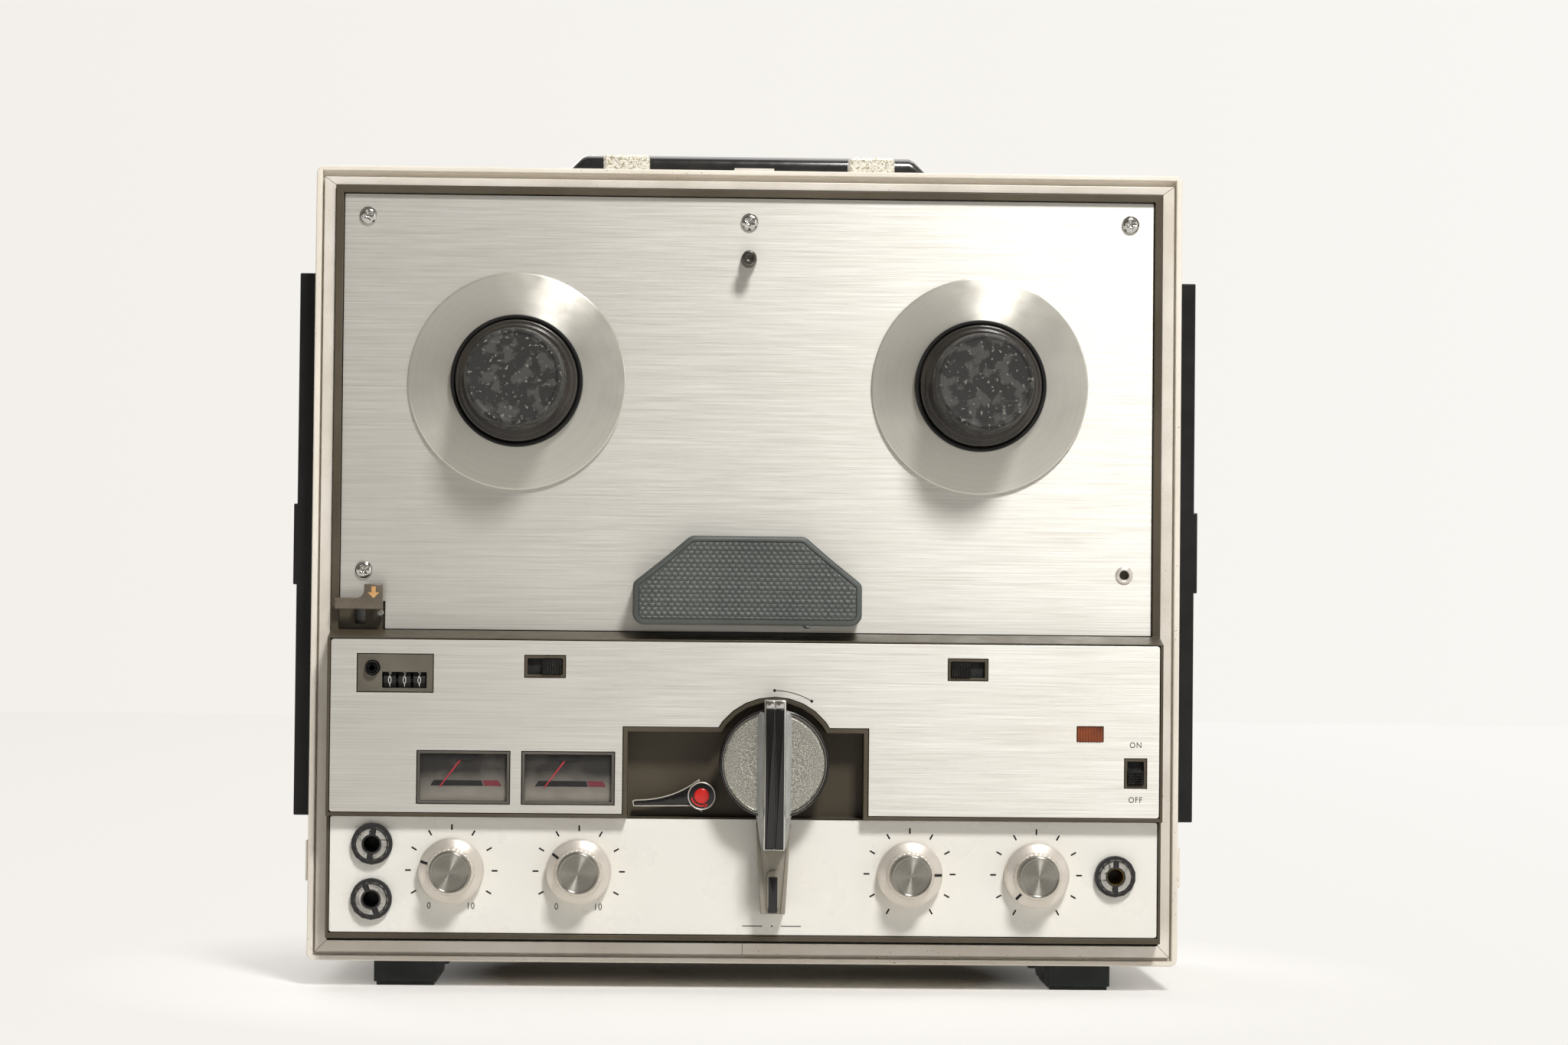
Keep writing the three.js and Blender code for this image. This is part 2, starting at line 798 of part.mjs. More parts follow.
/** The rubber cap that is pushed on the spindle to hold the reel. */
function reelCap(x) {
  const back = -hubConeStand - gap;
  const bore = spindleRadius + gap;
  return turned([
    [0, -capStand],
    [capRadius - capEdge, -capStand],
    [capRadius, -capStand + capEdge],
    [capBaseRadius, back],
    [bore, back],
    [bore, back - capBoreDepth],
    [0, back - capBoreDepth],
  ], x, reelHeight);
}

/** The head cover's outline, drawn in by an amount. */
function coverOutline(inset) {
  const corner = coverCorner;
  const bottom = coverBottom + inset;
  const side = coverHalfWidth - inset;
  return outline([
    [-side + corner, bottom],
    [side - corner, bottom],
    [side, bottom + corner],
    [side, coverShoulder],
    [coverKinkHalfWidth - inset / 2, coverKink - inset / 2],
    [coverTopHalfWidth - inset / 2, coverTop - inset],
    [-coverTopHalfWidth + inset / 2, coverTop - inset],
    [-coverKinkHalfWidth + inset / 2, coverKink - inset / 2],
    [-side, coverShoulder],
    [-side, bottom + corner],
  ]);
}

/** The box over the heads, open towards the deck and along its lower side for the tape. */
function headCover() {
  const back = deckFront - gap;
  const shell = slab(coverOutline(0), -coverStand, back);
  const hollow = slab(coverOutline(coverWall), -coverStand + coverWall, back + overrun);
  const slotHalf = coverHalfWidth - coverWall - coverCorner;
  const slot = block(halves(slotHalf), [-coverStand + coverWall, back + overrun], [0, coverBottom + coverCorner]);
  return cut(shell, hollow, slot);
}

/** The bracket on the deck with the erase head and the record and playback head on it. */
function headBlock() {
  const back = deckFront - gap;
  const front = back - headBracketThickness;
  const plate = block([headBracketLeft, headBracketRight], [front, back], [headBracketBottom, headBracketTop]);
  const headY = [front - headDepth, front + headBracketThickness / 2];
  const headZ = [headBottom, headBottom + headTall];
  return joined(plate, ...[eraseHeadX, playHeadX].map((x) => block(around(x, headWidth), headY, headZ)));
}

/** The capstan shaft with its flywheel. */
function capstan() {
  const flywheelBack = flywheelFront + flywheelThickness;
  return turned([
    [0, -capstanStand],
    [capstanRadius, -capstanStand],
    [capstanRadius, flywheelFront],
    [flywheelRadius, flywheelFront],
    [flywheelRadius, flywheelBack],
    [capstanRadius, flywheelBack],
    [capstanRadius, capstanReach],
    [0, capstanReach],
  ], capstanX, capstanHeight);
}

const rollerHeightUp = capstanHeight + capstanRadius + rollerGap + rollerRadius;

/** The rubber roller that presses the tape on the capstan. */
function pinchRoller() {
  const bore = armPin + gap;
  const front = -rollerBack - rollerHeight;
  const profile = [[bore, front], [rollerRadius, front], [rollerRadius, -rollerBack], [bore, -rollerBack]];
  return turned(profile, capstanX, rollerHeightUp, smallSteps);
}

/** The roller's arm, with its pivot pin in the deck and the roller's axle in front. */
function pinchRollerArm() {
  const front = -rollerBack + gap;
  const back = front + armThickness;
  const [dx, dz] = [capstanX - armPivotX, rollerHeightUp - armPivotHeight];
  const length = Math.hypot(dx, dz);
  const [sx, sz] = [-dz / length * armWidth / 2, dx / length * armWidth / 2];
  const link = slab(outline([
    [armPivotX + sx, armPivotHeight + sz],
    [armPivotX - sx, armPivotHeight - sz],
    [capstanX - sx, rollerHeightUp - sz],
    [capstanX + sx, rollerHeightUp + sz],
  ]), front, back);
  return joined(
    link,
    rod(armPivotX, armPivotHeight, armWidth / 2, front, deckFront - gap),
    rod(armPivotX, armPivotHeight, armPin, front, deckBack + bezelSkin),
    rod(capstanX, rollerHeightUp, armWidth / 2, front, back),
    rod(capstanX, rollerHeightUp, armPin, -rollerBack - rollerHeight - armSetBack, front + armThickness / 2),
  );
}

/** The pause lever: a bar with an upright tab, and a stem through the window in the deck. */
function pauseLever() {
  const shape = new THREE.Shape();
  shape.moveTo(pauseLeft, pauseBottom);
  shape.lineTo(pauseRight, pauseBottom);
  shape.lineTo(pauseRight, pauseTabTop);
  shape.lineTo(pauseTabLeft, pauseTabTop);
  shape.lineTo(pauseTabLeft, pauseBarTop + pauseFillet);
  const centre = [pauseTabLeft - pauseFillet, pauseBarTop + pauseFillet];
  shape.absarc(...centre, pauseFillet, 0, -Math.PI / 2, true);
  shape.lineTo(pauseLeft, pauseBarTop);
  const face = slab(shape, -pauseStand, -pauseStand + pauseThickness);
  const stemHeight = [pauseBottom + gap, pauseBottom + gap + pauseStemTall];
  const stemY = [-pauseStand + pauseThickness / 2, pauseStemReach];
  return joined(face, block(around(pauseStemX, pauseStemWidth), stemY, stemHeight));
}


/** A block that stands in a window of the control panel, a gap clear of its edges. */
function insert([x, z], depth) {
  return block(grown(x, -gap), [insertFront, insertFront + depth], grown(z, -gap));
}

// Digit wheels of the counter, side by side on one axle
const digitPitch = (digitRight - digitLeft) / digitWheelCount;
const digitAxisY = insertFront + digitLip + gap + digitWheelRadius;
const digitAxisHeight = (digitBottom + digitTop) / 2;
const digitAxle = 1;

/** The counter's body, with the space for its wheels, their axle and the button's hole. */
function counterBody() {
  const digits = [digitLeft, digitRight];
  const room = digitWheelRadius + gap;
  const hollow = crossRod(digitAxisY, digitAxisHeight, [room, room], digits);
  const lip = block(digits, [insertFront - overrun, digitAxisY], [digitBottom, digitTop]);
  const axle = crossRod(digitAxisY, digitAxisHeight, [digitAxle, digitAxle], grown(digits, overrun));
  const holeBack = insertFront + resetLength - resetProud + resetTravel + gap;
  const buttonHole = rod(resetX, resetHeight, resetRadius + gap, insertFront - overrun, holeBack);
  return joined(cut(insert(counterWindow, counterDepth), hollow, lip, buttonHole), axle);
}

/** One digit wheel, counted from the left. */
function digitWheel(place) {
  const middle = digitLeft + (place + 0.5) * digitPitch;
  const width = around(middle, digitWheelWidth);
  const rim = crossRod(digitAxisY, digitAxisHeight, [digitWheelRadius, digitWheelRadius], width);
  const bore = digitAxle + gap;
  return cut(rim, crossRod(digitAxisY, digitAxisHeight, [bore, bore], grown(width, overrun)));
}

/** The button that sets the counter to nought. */
function resetButton() {
  const front = insertFront - resetProud;
  return rod(resetX, resetHeight, resetRadius, front, front + resetLength);
}

// Free room of a slider in its pocket, from the edge of the window
const sliderInset = gap + switchFrame + gap;
const sliderY = [insertFront - sliderProud, insertFront + switchPocket - gap];

/** A slider at the right or left end of a level switch. */
function levelSlider([x, z], atRight) {
  const [left, right] = grown(x, -sliderInset);
  const width = atRight ? [right - sliderLength, right] : [left, left + sliderLength];
  return block(width, sliderY, grown(z, -sliderInset));
}

/** The slider at the lower end of the upright speaker switch. */
function uprightSlider([x, z]) {
  const [low] = grown(z, -sliderInset);
  return block(grown(x, -sliderInset), sliderY, [low, low + speakerSliderLength]);
}

// Planes and pivots of the meters
const meterFace = insertFront + meterFaceDepth;
const needleHeight = meterTop - gap - meterRim - meterRim;

/** The twin meter housing: two faces set back in their windows, joined behind the panel. */
function levelMeters() {
  const bodies = meterWindows.map(([x, z]) => {
    const face = block(grown(x, -gap - meterRim), [insertFront - overrun, meterFace], grown(z, -gap - meterRim));
    return cut(insert([x, z], meterDepth), face);
  });
  const bridgeX = [leftMeterLeft + meterWidth / 2, rightMeterLeft + meterWidth / 2];
  const bridgeY = [controlSeat + bezelSkin + gap, insertFront + meterDepth / 2];
  return joined(...bodies, block(bridgeX, bridgeY, grown([meterBottom, meterTop], -gap - meterRim)));
}

/** A meter needle, hanging from its pivot and turned to its rest place at the lower left. */
function meterNeedle(windowLeft) {
  const x = windowLeft + meterWidth / 2;
  const back = meterFace - gap;
  const front = back - needleThickness;
  const angle = THREE.MathUtils.degToRad(needleRest);
  const [sin, cos] = [Math.sin(angle), Math.cos(angle)];
  const side = needleWidth / 2;
  const at = (along, across) => [x - along * sin + across * cos, needleHeight - along * cos - across * sin];
  const pointer = slab(outline([at(0, side), at(0, -side), at(needleLength, -side), at(needleLength, side)]), front, back);
  return joined(pointer, rod(x, needleHeight, needleBoss / 2, front - needleThickness, back, smallSteps / 2));
}

/** The amber lens of the pilot lamp. */
function pilotLens() {
  const [x, z] = pilotWindow;
  const front = -controlStand - pilotProud;
  return block(grown(x, -gap), [front, front + pilotDepth], grown(z, -gap));
}

/** The big function knob with its cross bar and its shaft through the well's floor. */
function functionKnob() {
  const knob = turned([
    [0, -functionStand],
    [functionRadius - functionEdge, -functionStand],
    [functionRadius, -functionStand + functionEdge],
    [functionRadius, -functionBack],
    [functionShaft, -functionBack],
    [functionShaft, functionShaftReach],
    [0, functionShaftReach],
  ], functionX, functionHeight, fineSteps);
  const width = around(functionX, functionBarWidth);
  const tailTop = functionHeight - functionRadius - gap;
  const low = functionHeight - functionBarBelow;
  const face = block(width, [-functionBarStand, -functionStand + gap], [low, functionHeight + functionBarAbove]);
  return joined(knob, face, block(width, [-functionBarStand + overrun, -functionBarTailBack], [low, tailTop]));
}

/** The fast-wind lever: a hub behind the knob and an arm that hangs over the lower plate. */
function fastWindLever() {
  const hubBack = -fastHubStand + fastHubThickness;
  const bore = functionShaft + gap;
  const rootHeight = functionHeight - fastRoot;
  const hub = turned([
    [bore, -fastHubStand],
    [fastHubRadius, -fastHubStand],
    [fastHubRadius, hubBack],
    [fastNeckRadius, hubBack],
    [fastNeckRadius, -wellFloor - gap],
    [bore, -wellFloor - gap],
  ], functionX, functionHeight);
  const strapTop = functionHeight - fastHubRadius + fastHubThickness;
  const strap = block(around(functionX, fastRootWidth), [-fastHubStand, -fastBack], [rootHeight - overrun, strapTop]);
  const [root, tip] = [fastRootWidth / 2, fastTipWidth / 2];
  const arm = slab(outline([
    [functionX - root, rootHeight],
    [functionX - tip, functionHeight - fastReach],
    [functionX + tip, functionHeight - fastReach],
    [functionX + root, rootHeight],
  ]), -fastStand, -fastBack);
  return joined(hub, strap, arm);
}

/** The record lever: a round hub with a shaft, and an arm that tapers to the left. */
function recordLever() {
  const hub = rod(recordX, recordHeight, recordHubRadius, -recordStand, -wellFloor - gap);
  const shaft = rod(recordX, recordHeight, recordShaft, -recordStand + overrun, bezelSkin);
  const tipLow = recordHeight - recordTipDrop - recordTipThickness / 2;
  const waistX = (recordX + recordTipX) / 2;
  const arm = slab(outline([
    [recordTipX, tipLow],
    [recordX, recordHeight - recordHubRadius],
    [recordX, recordHeight + recordHubRadius],
    [recordX - recordHubRadius, recordHeight + recordTipThickness],
    [waistX, tipLow + recordTipThickness * 3 / 2],
    [recordTipX, tipLow + recordTipThickness],
  ]), -recordArmStand, -recordArmBack);
  return joined(hub, shaft, arm);
}

/** A knob on the lower plate: flange, notched ring, turned cap and shaft. */
function lowerKnob(x) {
  const back = lowerFront - gap;
  const flange = back - knobFlangeThickness;
  const ring = flange - knobRingStand;
  return turned([
    [0, flange - knobCapStand],
    [knobCapRadius, flange - knobCapStand],
    [knobNeckRadius, ring],
    [knobRingRadius, ring],
    [knobRingRadius, flange],
    [knobFlangeRadius, flange],
    [knobFlangeRadius, back],
    [knobShaft, back],
    [knobShaft, potFront - gap],
    [0, potFront - gap],
  ], x, knobHeight);
}

// Planes of the jack sockets
const jackSeat = lowerFront - gap;
const jackRing = jackSeat - jackRingStand;
const jackNut = jackRing - jackNutStand;
const jackBack = jackNut + jackDepth;

/** A jack socket: black ring, nut and a body with a blind bore. */
function jackSocket([x, z]) {
  return turned([
    [0, jackBack],
    [jackBodyRadius, jackBack],
    [jackBodyRadius, jackSeat],
    [jackRingRadius, jackSeat],
    [jackRingRadius, jackRing],
    [jackNutRadius, jackRing],
    [jackNutRadius, jackNut],
    [jackBore, jackNut],
    [jackBore, jackBack - jackWall],
    [0, jackBack - jackWall],
  ], x, z, smallSteps);
}

/** The two microphone jacks, held together by a strip behind the lower plate. */
function microphoneJacks() {
  const [upper, lower] = microphonePlaces;
  const front = lowerSeat + bezelSkin + gap;
  const strip = block(around(jackLeftX, jackBodyRadius), [front, front + jackWall], [jackLowHeight, jackHighHeight]);
  const bores = microphonePlaces.map(([x, z]) => rod(x, z, jackBore, jackNut, jackBack - jackWall));
  return cut(joined(jackSocket(upper), jackSocket(lower), strip), ...bores);
}

/** A louvred door on one side: a shallow tray with slots through its skin and a finger tab. */
function speakerDoor(side) {
  const inner = caseHalfWidth + gap;
  const outer = inner + doorThickness;
  const depth = [doorFront, doorFront + doorDepth];
  const height = [doorBottom, doorTop];
  const tray = block(sided(side, [inner, outer]), depth, height);
  const hollow = block(sided(side, [inner - overrun, outer - doorSkin]), grown(depth, -doorSkin), grown(height, -doorSkin));
  const pitch = (doorTop - doorBottom - louvreMargin) / louvreCount;
  const slots = Array.from({ length: louvreCount }, (_, i) => {
    const middle = doorBottom + louvreMargin / 2 + (i + 0.5) * pitch;
    return block(sided(side, [inner, outer + overrun]), grown(depth, -louvreMargin), around(middle, louvreHeight));
  });
  const tabY = [doorFront, doorFront + doorTabLength];
  const tab = block(sided(side, [outer - doorSkin / 2, outer + doorTabProud]), tabY, [doorTabBottom, doorTabTop]);
  return joined(cut(tray, hollow, ...slots), tab);
}

/** A loudspeaker behind the hole in one side wall: flange, basket, magnet and hollow cone. */
function speaker(side) {
  const wall = insideHalfWidth - gap;
  const flangeBack = wall - speakerFlange;
  const basketBack = wall - speakerDepth / 2;
  const rimRadius = speakerHole - speakerFlange;
  const cone = (near, far, x) => {
    const radii = side > 0 ? [far, near] : [near, far];
    return crossRod(speakerY, speakerHeight, radii, sided(side, x), roundSteps);
  };
  const body = joined(
    cone(speakerRadius, speakerRadius, [flangeBack, wall]),
    cone(rimRadius, speakerMagnetRadius, [basketBack, flangeBack + overrun]),
    cone(speakerMagnetRadius, speakerMagnetRadius, [wall - speakerDepth, basketBack + overrun]),
  );
  const mouth = rimRadius - speakerFlange;
  return cut(body, cone(mouth, speakerFlange, [basketBack + speakerFlange, wall + overrun]));
}

const handlePivotHeight = caseTop + handlePivotRise;
const armRange = [bracketInner + bracketCheek + gap, bracketInner + bracketWidth - bracketCheek - gap];

/** The carrying handle: a grip behind the brackets and two arms that run forward to their pins. */
function handle() {
  const gripHeight = [caseTop + handleGripBottom, caseTop + handleGripTop];
  const grip = slab(outline([
    [-handleHalfWidth, gripHeight[0]],
    [handleHalfWidth, gripHeight[0]],
    [handleHalfWidth, gripHeight[1] - handleChamfer],
    [handleHalfWidth - handleChamfer, gripHeight[1]],
    [-handleHalfWidth + handleChamfer, gripHeight[1]],
    [-handleHalfWidth, gripHeight[1] - handleChamfer],
  ]), handleGripFront, handleGripFront + handleGripDepth);
  const armHeight = [handlePivotHeight - handleArmHalfHeight, handlePivotHeight + handleArmHalfHeight];
  const arms = [-1, 1].map((side) => {
    const x = sided(side, armRange);
    const bore = handlePin + gap;
    const eye = crossRod(handlePivotY, handlePivotHeight, [handleArmHalfHeight, handleArmHalfHeight], x);
    const bar = block(x, [handlePivotY, handleGripFront + overrun], armHeight);
    return cut(joined(eye, bar), crossRod(handlePivotY, handlePivotHeight, [bore, bore], grown(x, overrun)));
  });
  return joined(grip, ...arms);
}

/** One bracket on the case top, with a slot for the arm and a pin across it. */
function handleBracket(side) {
  const height = [caseTop + gap, caseTop + bracketRise];
  const x = sided(side, [bracketInner, bracketInner + bracketWidth]);
  const ear = slab(roundedOutline(x, height, bracketCorner), bracketFront, bracketFront + bracketDepth);
  const slotX = grown(sided(side, armRange), gap);
  const slotY = [bracketFront + bracketCheek, bracketFront + bracketDepth + overrun];
  const slot = block(slotX, slotY, grown(height, overrun));
  const pin = crossRod(handlePivotY, handlePivotHeight, [handlePin, handlePin], grown(slotX, overrun));
  return joined(cut(ear, slot), pin);
}

/** One foot, whose inner end slants; near is true for the feet at the front. */
function foot(side, near) {
  const start = near ? footFront : caseDepth - footFront;
  const run = near ? 1 : -1;
  const profile = outline([
    [start, 0],
    [start + run * footBottomLength, 0],
    [start + run * footTopLength, footHeight - gap],
    [start, footHeight - gap],
  ]);
  return bar(profile, ...sided(side, [footInner, footInner + footWidth]));
}

const coverInside = reachRear - coverPlateWall;
const doorOpeningX = halves(batteryHalfWidth - batteryWall);
const doorOpeningZ = [batteryBottom + batteryWall, batteryTop - batteryWall];
const inletX2 = around(inletX, inletWidth);
const inletZ = around(inletHeight, inletTall);

/** The rear cover: a shallow tray with openings for the battery door and the mains inlet. */
function rearCover() {
  const front = caseDepth + gap;
  const halfWidth = caseHalfWidth - coverPlateInset;
  const height = [caseBottom + coverPlateInset, caseTop - coverPlateInset];
  const tray = slab(roundedOutline(halves(halfWidth), height, caseCorner), front, reachRear);
  const insideY = [front - overrun, coverInside];
  const hollow = block(halves(halfWidth - coverPlateWall), insideY, grown(height, -coverPlateWall));
  const through = [front, reachRear + overrun];
  return cut(
    tray,
    hollow,
    block(doorOpeningX, through, doorOpeningZ),
    block(grown(inletX2, gap), through, grown(inletZ, gap)),
  );
}

/** The door over the battery box, set in the rear cover. */
function batteryDoor() {
  const depth = [reachRear - batteryDoorThickness, reachRear];
  return block(grown(doorOpeningX, -gap), depth, grown(doorOpeningZ, -gap));
}

/** The box for the cells, open to the rear. */
function batteryBox() {
  const back = coverInside - gap;
  const outer = block(halves(batteryHalfWidth), [back - batteryDepth, back], [batteryBottom, batteryTop]);
  const hollowY = [back - batteryDepth + batteryWall, back + overrun];
  return cut(outer, block(doorOpeningX, hollowY, doorOpeningZ));
}

/** The two-pin mains inlet in the rear cover. */
function mainsInlet() {
  const front = reachRear - inletDepth;
  const body = block(inletX2, [front, reachRear], inletZ);
  const socket = block(grown(inletX2, -inletWall), [front + inletWall, reachRear + overrun], grown(inletZ, -inletWall));
  const pins = [-1, 1].map((side) => {
    const x = inletX + side * inletPinSpacing / 2;
    return rod(x, inletHeight, inletPinRadius, front + inletWall / 2, front + inletWall + inletPinLength);
  });
  return joined(cut(body, socket), ...pins);
}

const chassisBack = chassisFront + chassisThickness;

/** The steel plate behind the deck that carries the mechanism, with the bearings of the shafts. */
function chassisPlate() {
  const height = [insideBottom + gap, insideTop - gap];
  const plate = block(halves(insideHalfWidth - gap), [chassisFront, chassisBack], height);
  const bearingFront = chassisFront - bearingLength;
  const reels = [-reelHalfSpacing, reelHalfSpacing];
  const through = [bearingFront - overrun, chassisBack + overrun];
  return cut(
    joined(
      plate,
      ...reels.map((x) => rod(x, reelHeight, bearingRadius, bearingFront, chassisFront + overrun)),
      rod(capstanX, capstanHeight, capstanBoss, bearingFront, chassisFront + overrun),
    ),
    ...reels.map((x) => rod(x, reelHeight, reelShaftRadius + gap, ...through)),
    rod(capstanX, capstanHeight, capstanRadius + gap, ...through),
  );
}

/** The motor's can on the posts that hold it behind the chassis plate. */
function motor() {
  const can = rod(motorX, motorHeight, motorRadius, motorFront, motorFront + motorLength, roundSteps);
  const posts = Array.from({ length: motorPostCount }, (_, i) => {
    const angle = THREE.MathUtils.degToRad(motorPostStart + i * motorPostPitch);
    const x = motorX + motorPostCircle * Math.cos(angle);
    const z = motorHeight + motorPostCircle * Math.sin(angle);
    return rod(x, z, motorPostRadius, chassisBack + gap, motorFront + overrun);
  });
  return joined(can, ...posts);
}

/** The pulley on the motor's shaft. */
function motorPulley() {
  const front = flywheelFront + flywheelThickness / 2 - pulleyWidth / 2;
  return turned([
    [0, front],
    [pulleyRadius, front],
    [pulleyRadius, front + pulleyWidth],
    [motorShaft, front + pulleyWidth],
    [motorShaft, motorFront - gap],
    [0, motorFront - gap],
  ], motorX, motorHeight, smallSteps);
}

/** The outline of a band drawn tight round the pulley and the flywheel, a distance clear of both. */
function beltLine(clear) {
  const [dx, dz] = [capstanX - motorX, capstanHeight - motorHeight];
  const lean = Math.acos((flywheelRadius - pulleyRadius) / Math.hypot(dx, dz));
  const towards = Math.atan2(dz, dx);
  const shape = new THREE.Shape();
  shape.absarc(capstanX, capstanHeight, flywheelRadius + clear, towards + Math.PI + lean, towards + Math.PI - lean + Math.PI * 2, false);
  shape.absarc(motorX, motorHeight, pulleyRadius + clear, towards + Math.PI - lean, towards + Math.PI + lean, false);
  return shape;
}

/** The flat belt from the pulley to the flywheel. */
function driveBelt() {
  const middle = flywheelFront + flywheelThickness / 2;
  const [front, back] = around(middle, beltWidth);
  const outer = slab(beltLine(gap + beltThickness), front, back, smallSteps);
  return cut(outer, slab(beltLine(gap), front - overrun, back + overrun, smallSteps));
}

/** The mains transformer on the case floor: an iron core with its winding. */
function transformer() {
  const bottom = insideBottom + gap;
  const front = chassisBack + gap;
  const middle = front + transformerDepth / 2;
  const core = block(around(transformerX, transformerWidth), around(middle, transformerCore), [bottom, bottom + transformerHeight]);
  const windingHeight = [bottom + transformerHeight / 5, bottom + transformerHeight * 4 / 5];
  const winding = block(around(transformerX, transformerWidth * 3 / 5), [front, front + transformerDepth], windingHeight);
  return joined(core, winding);
}

/** The circuit board behind the lower plate, with the four potentiometers and its standoffs. */
function circuitBoard() {
  const front = boardBack - boardThickness;
  const board = block(halves(boardHalfWidth), [front, boardBack], [boardBottom, boardTop]);
  const pots = knobPlaces.map((x) => rod(x, knobHeight, potRadius, potFront, front + boardThickness / 2));
  const inset = standoffRadius * 2;
  const corners = [-1, 1].flatMap((side) => [boardBottom + inset, boardTop - inset].map((z) => [side * (boardHalfWidth - inset), z]));
  const posts = corners.map(([x, z]) => rod(x, z, standoffRadius, front + boardThickness / 2, chassisFront - gap));
  return joined(board, ...pots, ...posts);
}

part('case_shell', caseShell(), creamPaint);
part('rear_cover', rearCover(), creamPaint);
part('battery_door', batteryDoor(), creamPaint);
part('front_trim', frontTrim(), trimMetal);
part('deck_bezel', deckBezel(), bezelPlastic);
part('deck_plate', deckPlate(), brushedPlate);
part('control_plate', controlPlate(), brushedPlate);
part('lower_plate', lowerPlate(), creamPlate);
part('chassis_plate', chassisPlate(), steel);
part('front_left_foot', foot(-1, true), blackRubber);
part('front_right_foot', foot(1, true), blackRubber);
part('rear_left_foot', foot(-1, false), blackRubber);
part('rear_right_foot', foot(1, false), blackRubber);
part('handle', handle(), blackPlastic);
part('left_handle_bracket', handleBracket(-1), brass);
part('right_handle_bracket', handleBracket(1), brass);
part('left_speaker_door', speakerDoor(-1), blackPlastic);
part('right_speaker_door', speakerDoor(1), blackPlastic);
part('left_speaker', speaker(-1), paper);
part('right_speaker', speaker(1), paper);
part('left_reel_disc', reelDisc(-reelHalfSpacing), spunMetal);
part('right_reel_disc', reelDisc(reelHalfSpacing), spunMetal);
part('left_reel_hub', reelHub(-reelHalfSpacing), bezelPlastic);
part('right_reel_hub', reelHub(reelHalfSpacing), bezelPlastic);
part('left_reel_cap', reelCap(-reelHalfSpacing), blackRubber);
part('right_reel_cap', reelCap(reelHalfSpacing), blackRubber);
part('head_cover', headCover(), coverPlastic);
part('head_block', headBlock(), chrome);
part('capstan', capstan(), steel);
part('pinch_roller', pinchRoller(), blackRubber);
part('pinch_roller_arm', pinchRollerArm(), steel);
part('pause_lever', pauseLever(), bezelPlastic);
part('counter_body', counterBody(), bezelPlastic);
part('counter_wheel_hundreds', digitWheel(0), blackPlastic);
part('counter_wheel_tens', digitWheel(1), blackPlastic);
part('counter_wheel_units', digitWheel(2), blackPlastic);
part('counter_reset_button', resetButton(), blackPlastic);
part('track_switch_slider', levelSlider(trackWindow, true), blackPlastic);
part('speed_switch_slider', levelSlider(speedWindow, false), blackPlastic);
part('speaker_switch_slider', uprightSlider(speakerWindow), blackPlastic);
part('level_meters', levelMeters(), greyPlastic);
part('left_meter_needle', meterNeedle(leftMeterLeft), redPaint);
part('right_meter_needle', meterNeedle(rightMeterLeft), redPaint);
part('pilot_lens', pilotLens(), amberPlastic);
part('function_knob', functionKnob(), blackPlastic);
part('fast_wind_lever', fastWindLever(), bezelPlastic);
part('record_lever', recordLever(), blackPlastic);
part('left_volume_knob', lowerKnob(-knobOuterX), spunMetal);
part('right_volume_knob', lowerKnob(-knobInnerX), spunMetal);
part('left_tone_knob', lowerKnob(knobInnerX), spunMetal);
part('right_tone_knob', lowerKnob(knobOuterX), spunMetal);
part('microphone_jacks', microphoneJacks(), chrome);
part('headphone_jack', jackSocket(headphonePlace), chrome);
part('motor', motor(), steel);
part('motor_pulley', motorPulley(), brass);
part('drive_belt', driveBelt(), blackRubber);
part('transformer', transformer(), steel);
part('circuit_board', circuitBoard(), boardResin);
part('battery_box', batteryBox(), blackPlastic);
part('mains_inlet', mainsInlet(), blackPlastic);

export default recorder;
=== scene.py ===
import math

import bmesh
import bpy
import numpy as np
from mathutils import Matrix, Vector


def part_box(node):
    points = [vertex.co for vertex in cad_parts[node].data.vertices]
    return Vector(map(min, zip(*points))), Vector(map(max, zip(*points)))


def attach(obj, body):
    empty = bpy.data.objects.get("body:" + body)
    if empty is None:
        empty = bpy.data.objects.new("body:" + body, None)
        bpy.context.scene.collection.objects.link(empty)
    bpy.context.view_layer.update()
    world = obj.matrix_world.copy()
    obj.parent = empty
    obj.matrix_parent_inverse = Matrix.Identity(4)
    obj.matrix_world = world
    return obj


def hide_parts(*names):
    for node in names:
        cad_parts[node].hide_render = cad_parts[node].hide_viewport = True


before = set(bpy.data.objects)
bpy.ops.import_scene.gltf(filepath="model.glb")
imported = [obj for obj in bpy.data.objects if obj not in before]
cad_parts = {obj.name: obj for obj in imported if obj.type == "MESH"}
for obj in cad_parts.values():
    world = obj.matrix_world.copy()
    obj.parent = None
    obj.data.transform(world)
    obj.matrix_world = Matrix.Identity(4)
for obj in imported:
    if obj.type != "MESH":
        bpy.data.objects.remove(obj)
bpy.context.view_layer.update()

# Every size below is in millimetres. Y is counted from the case's front rim, which lies at RIM in the
# frame, while X and Z are the frame's own.
MM = 0.001
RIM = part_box("case_shell")[0][1] / MM
# The shortest length that is told from nothing, and how far apart points may lie and still be one
TINY = 1e-9
SAME = 1e-6


def corners(name):
    """A CAD node's low and high corner in millimetres, with Y counted from the rim."""
    return [np.array(corner) / MM - (0.0, RIM, 0.0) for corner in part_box(name)]


def middle(name):
    """The middle of a CAD node's box in millimetres, with Y counted from the rim."""
    return sum(corners(name)) / 2


def spot(name):
    """Where the middle of a CAD node lies across and up, X and Z in millimetres."""
    return middle(name)[[0, 2]]


# Surfaces


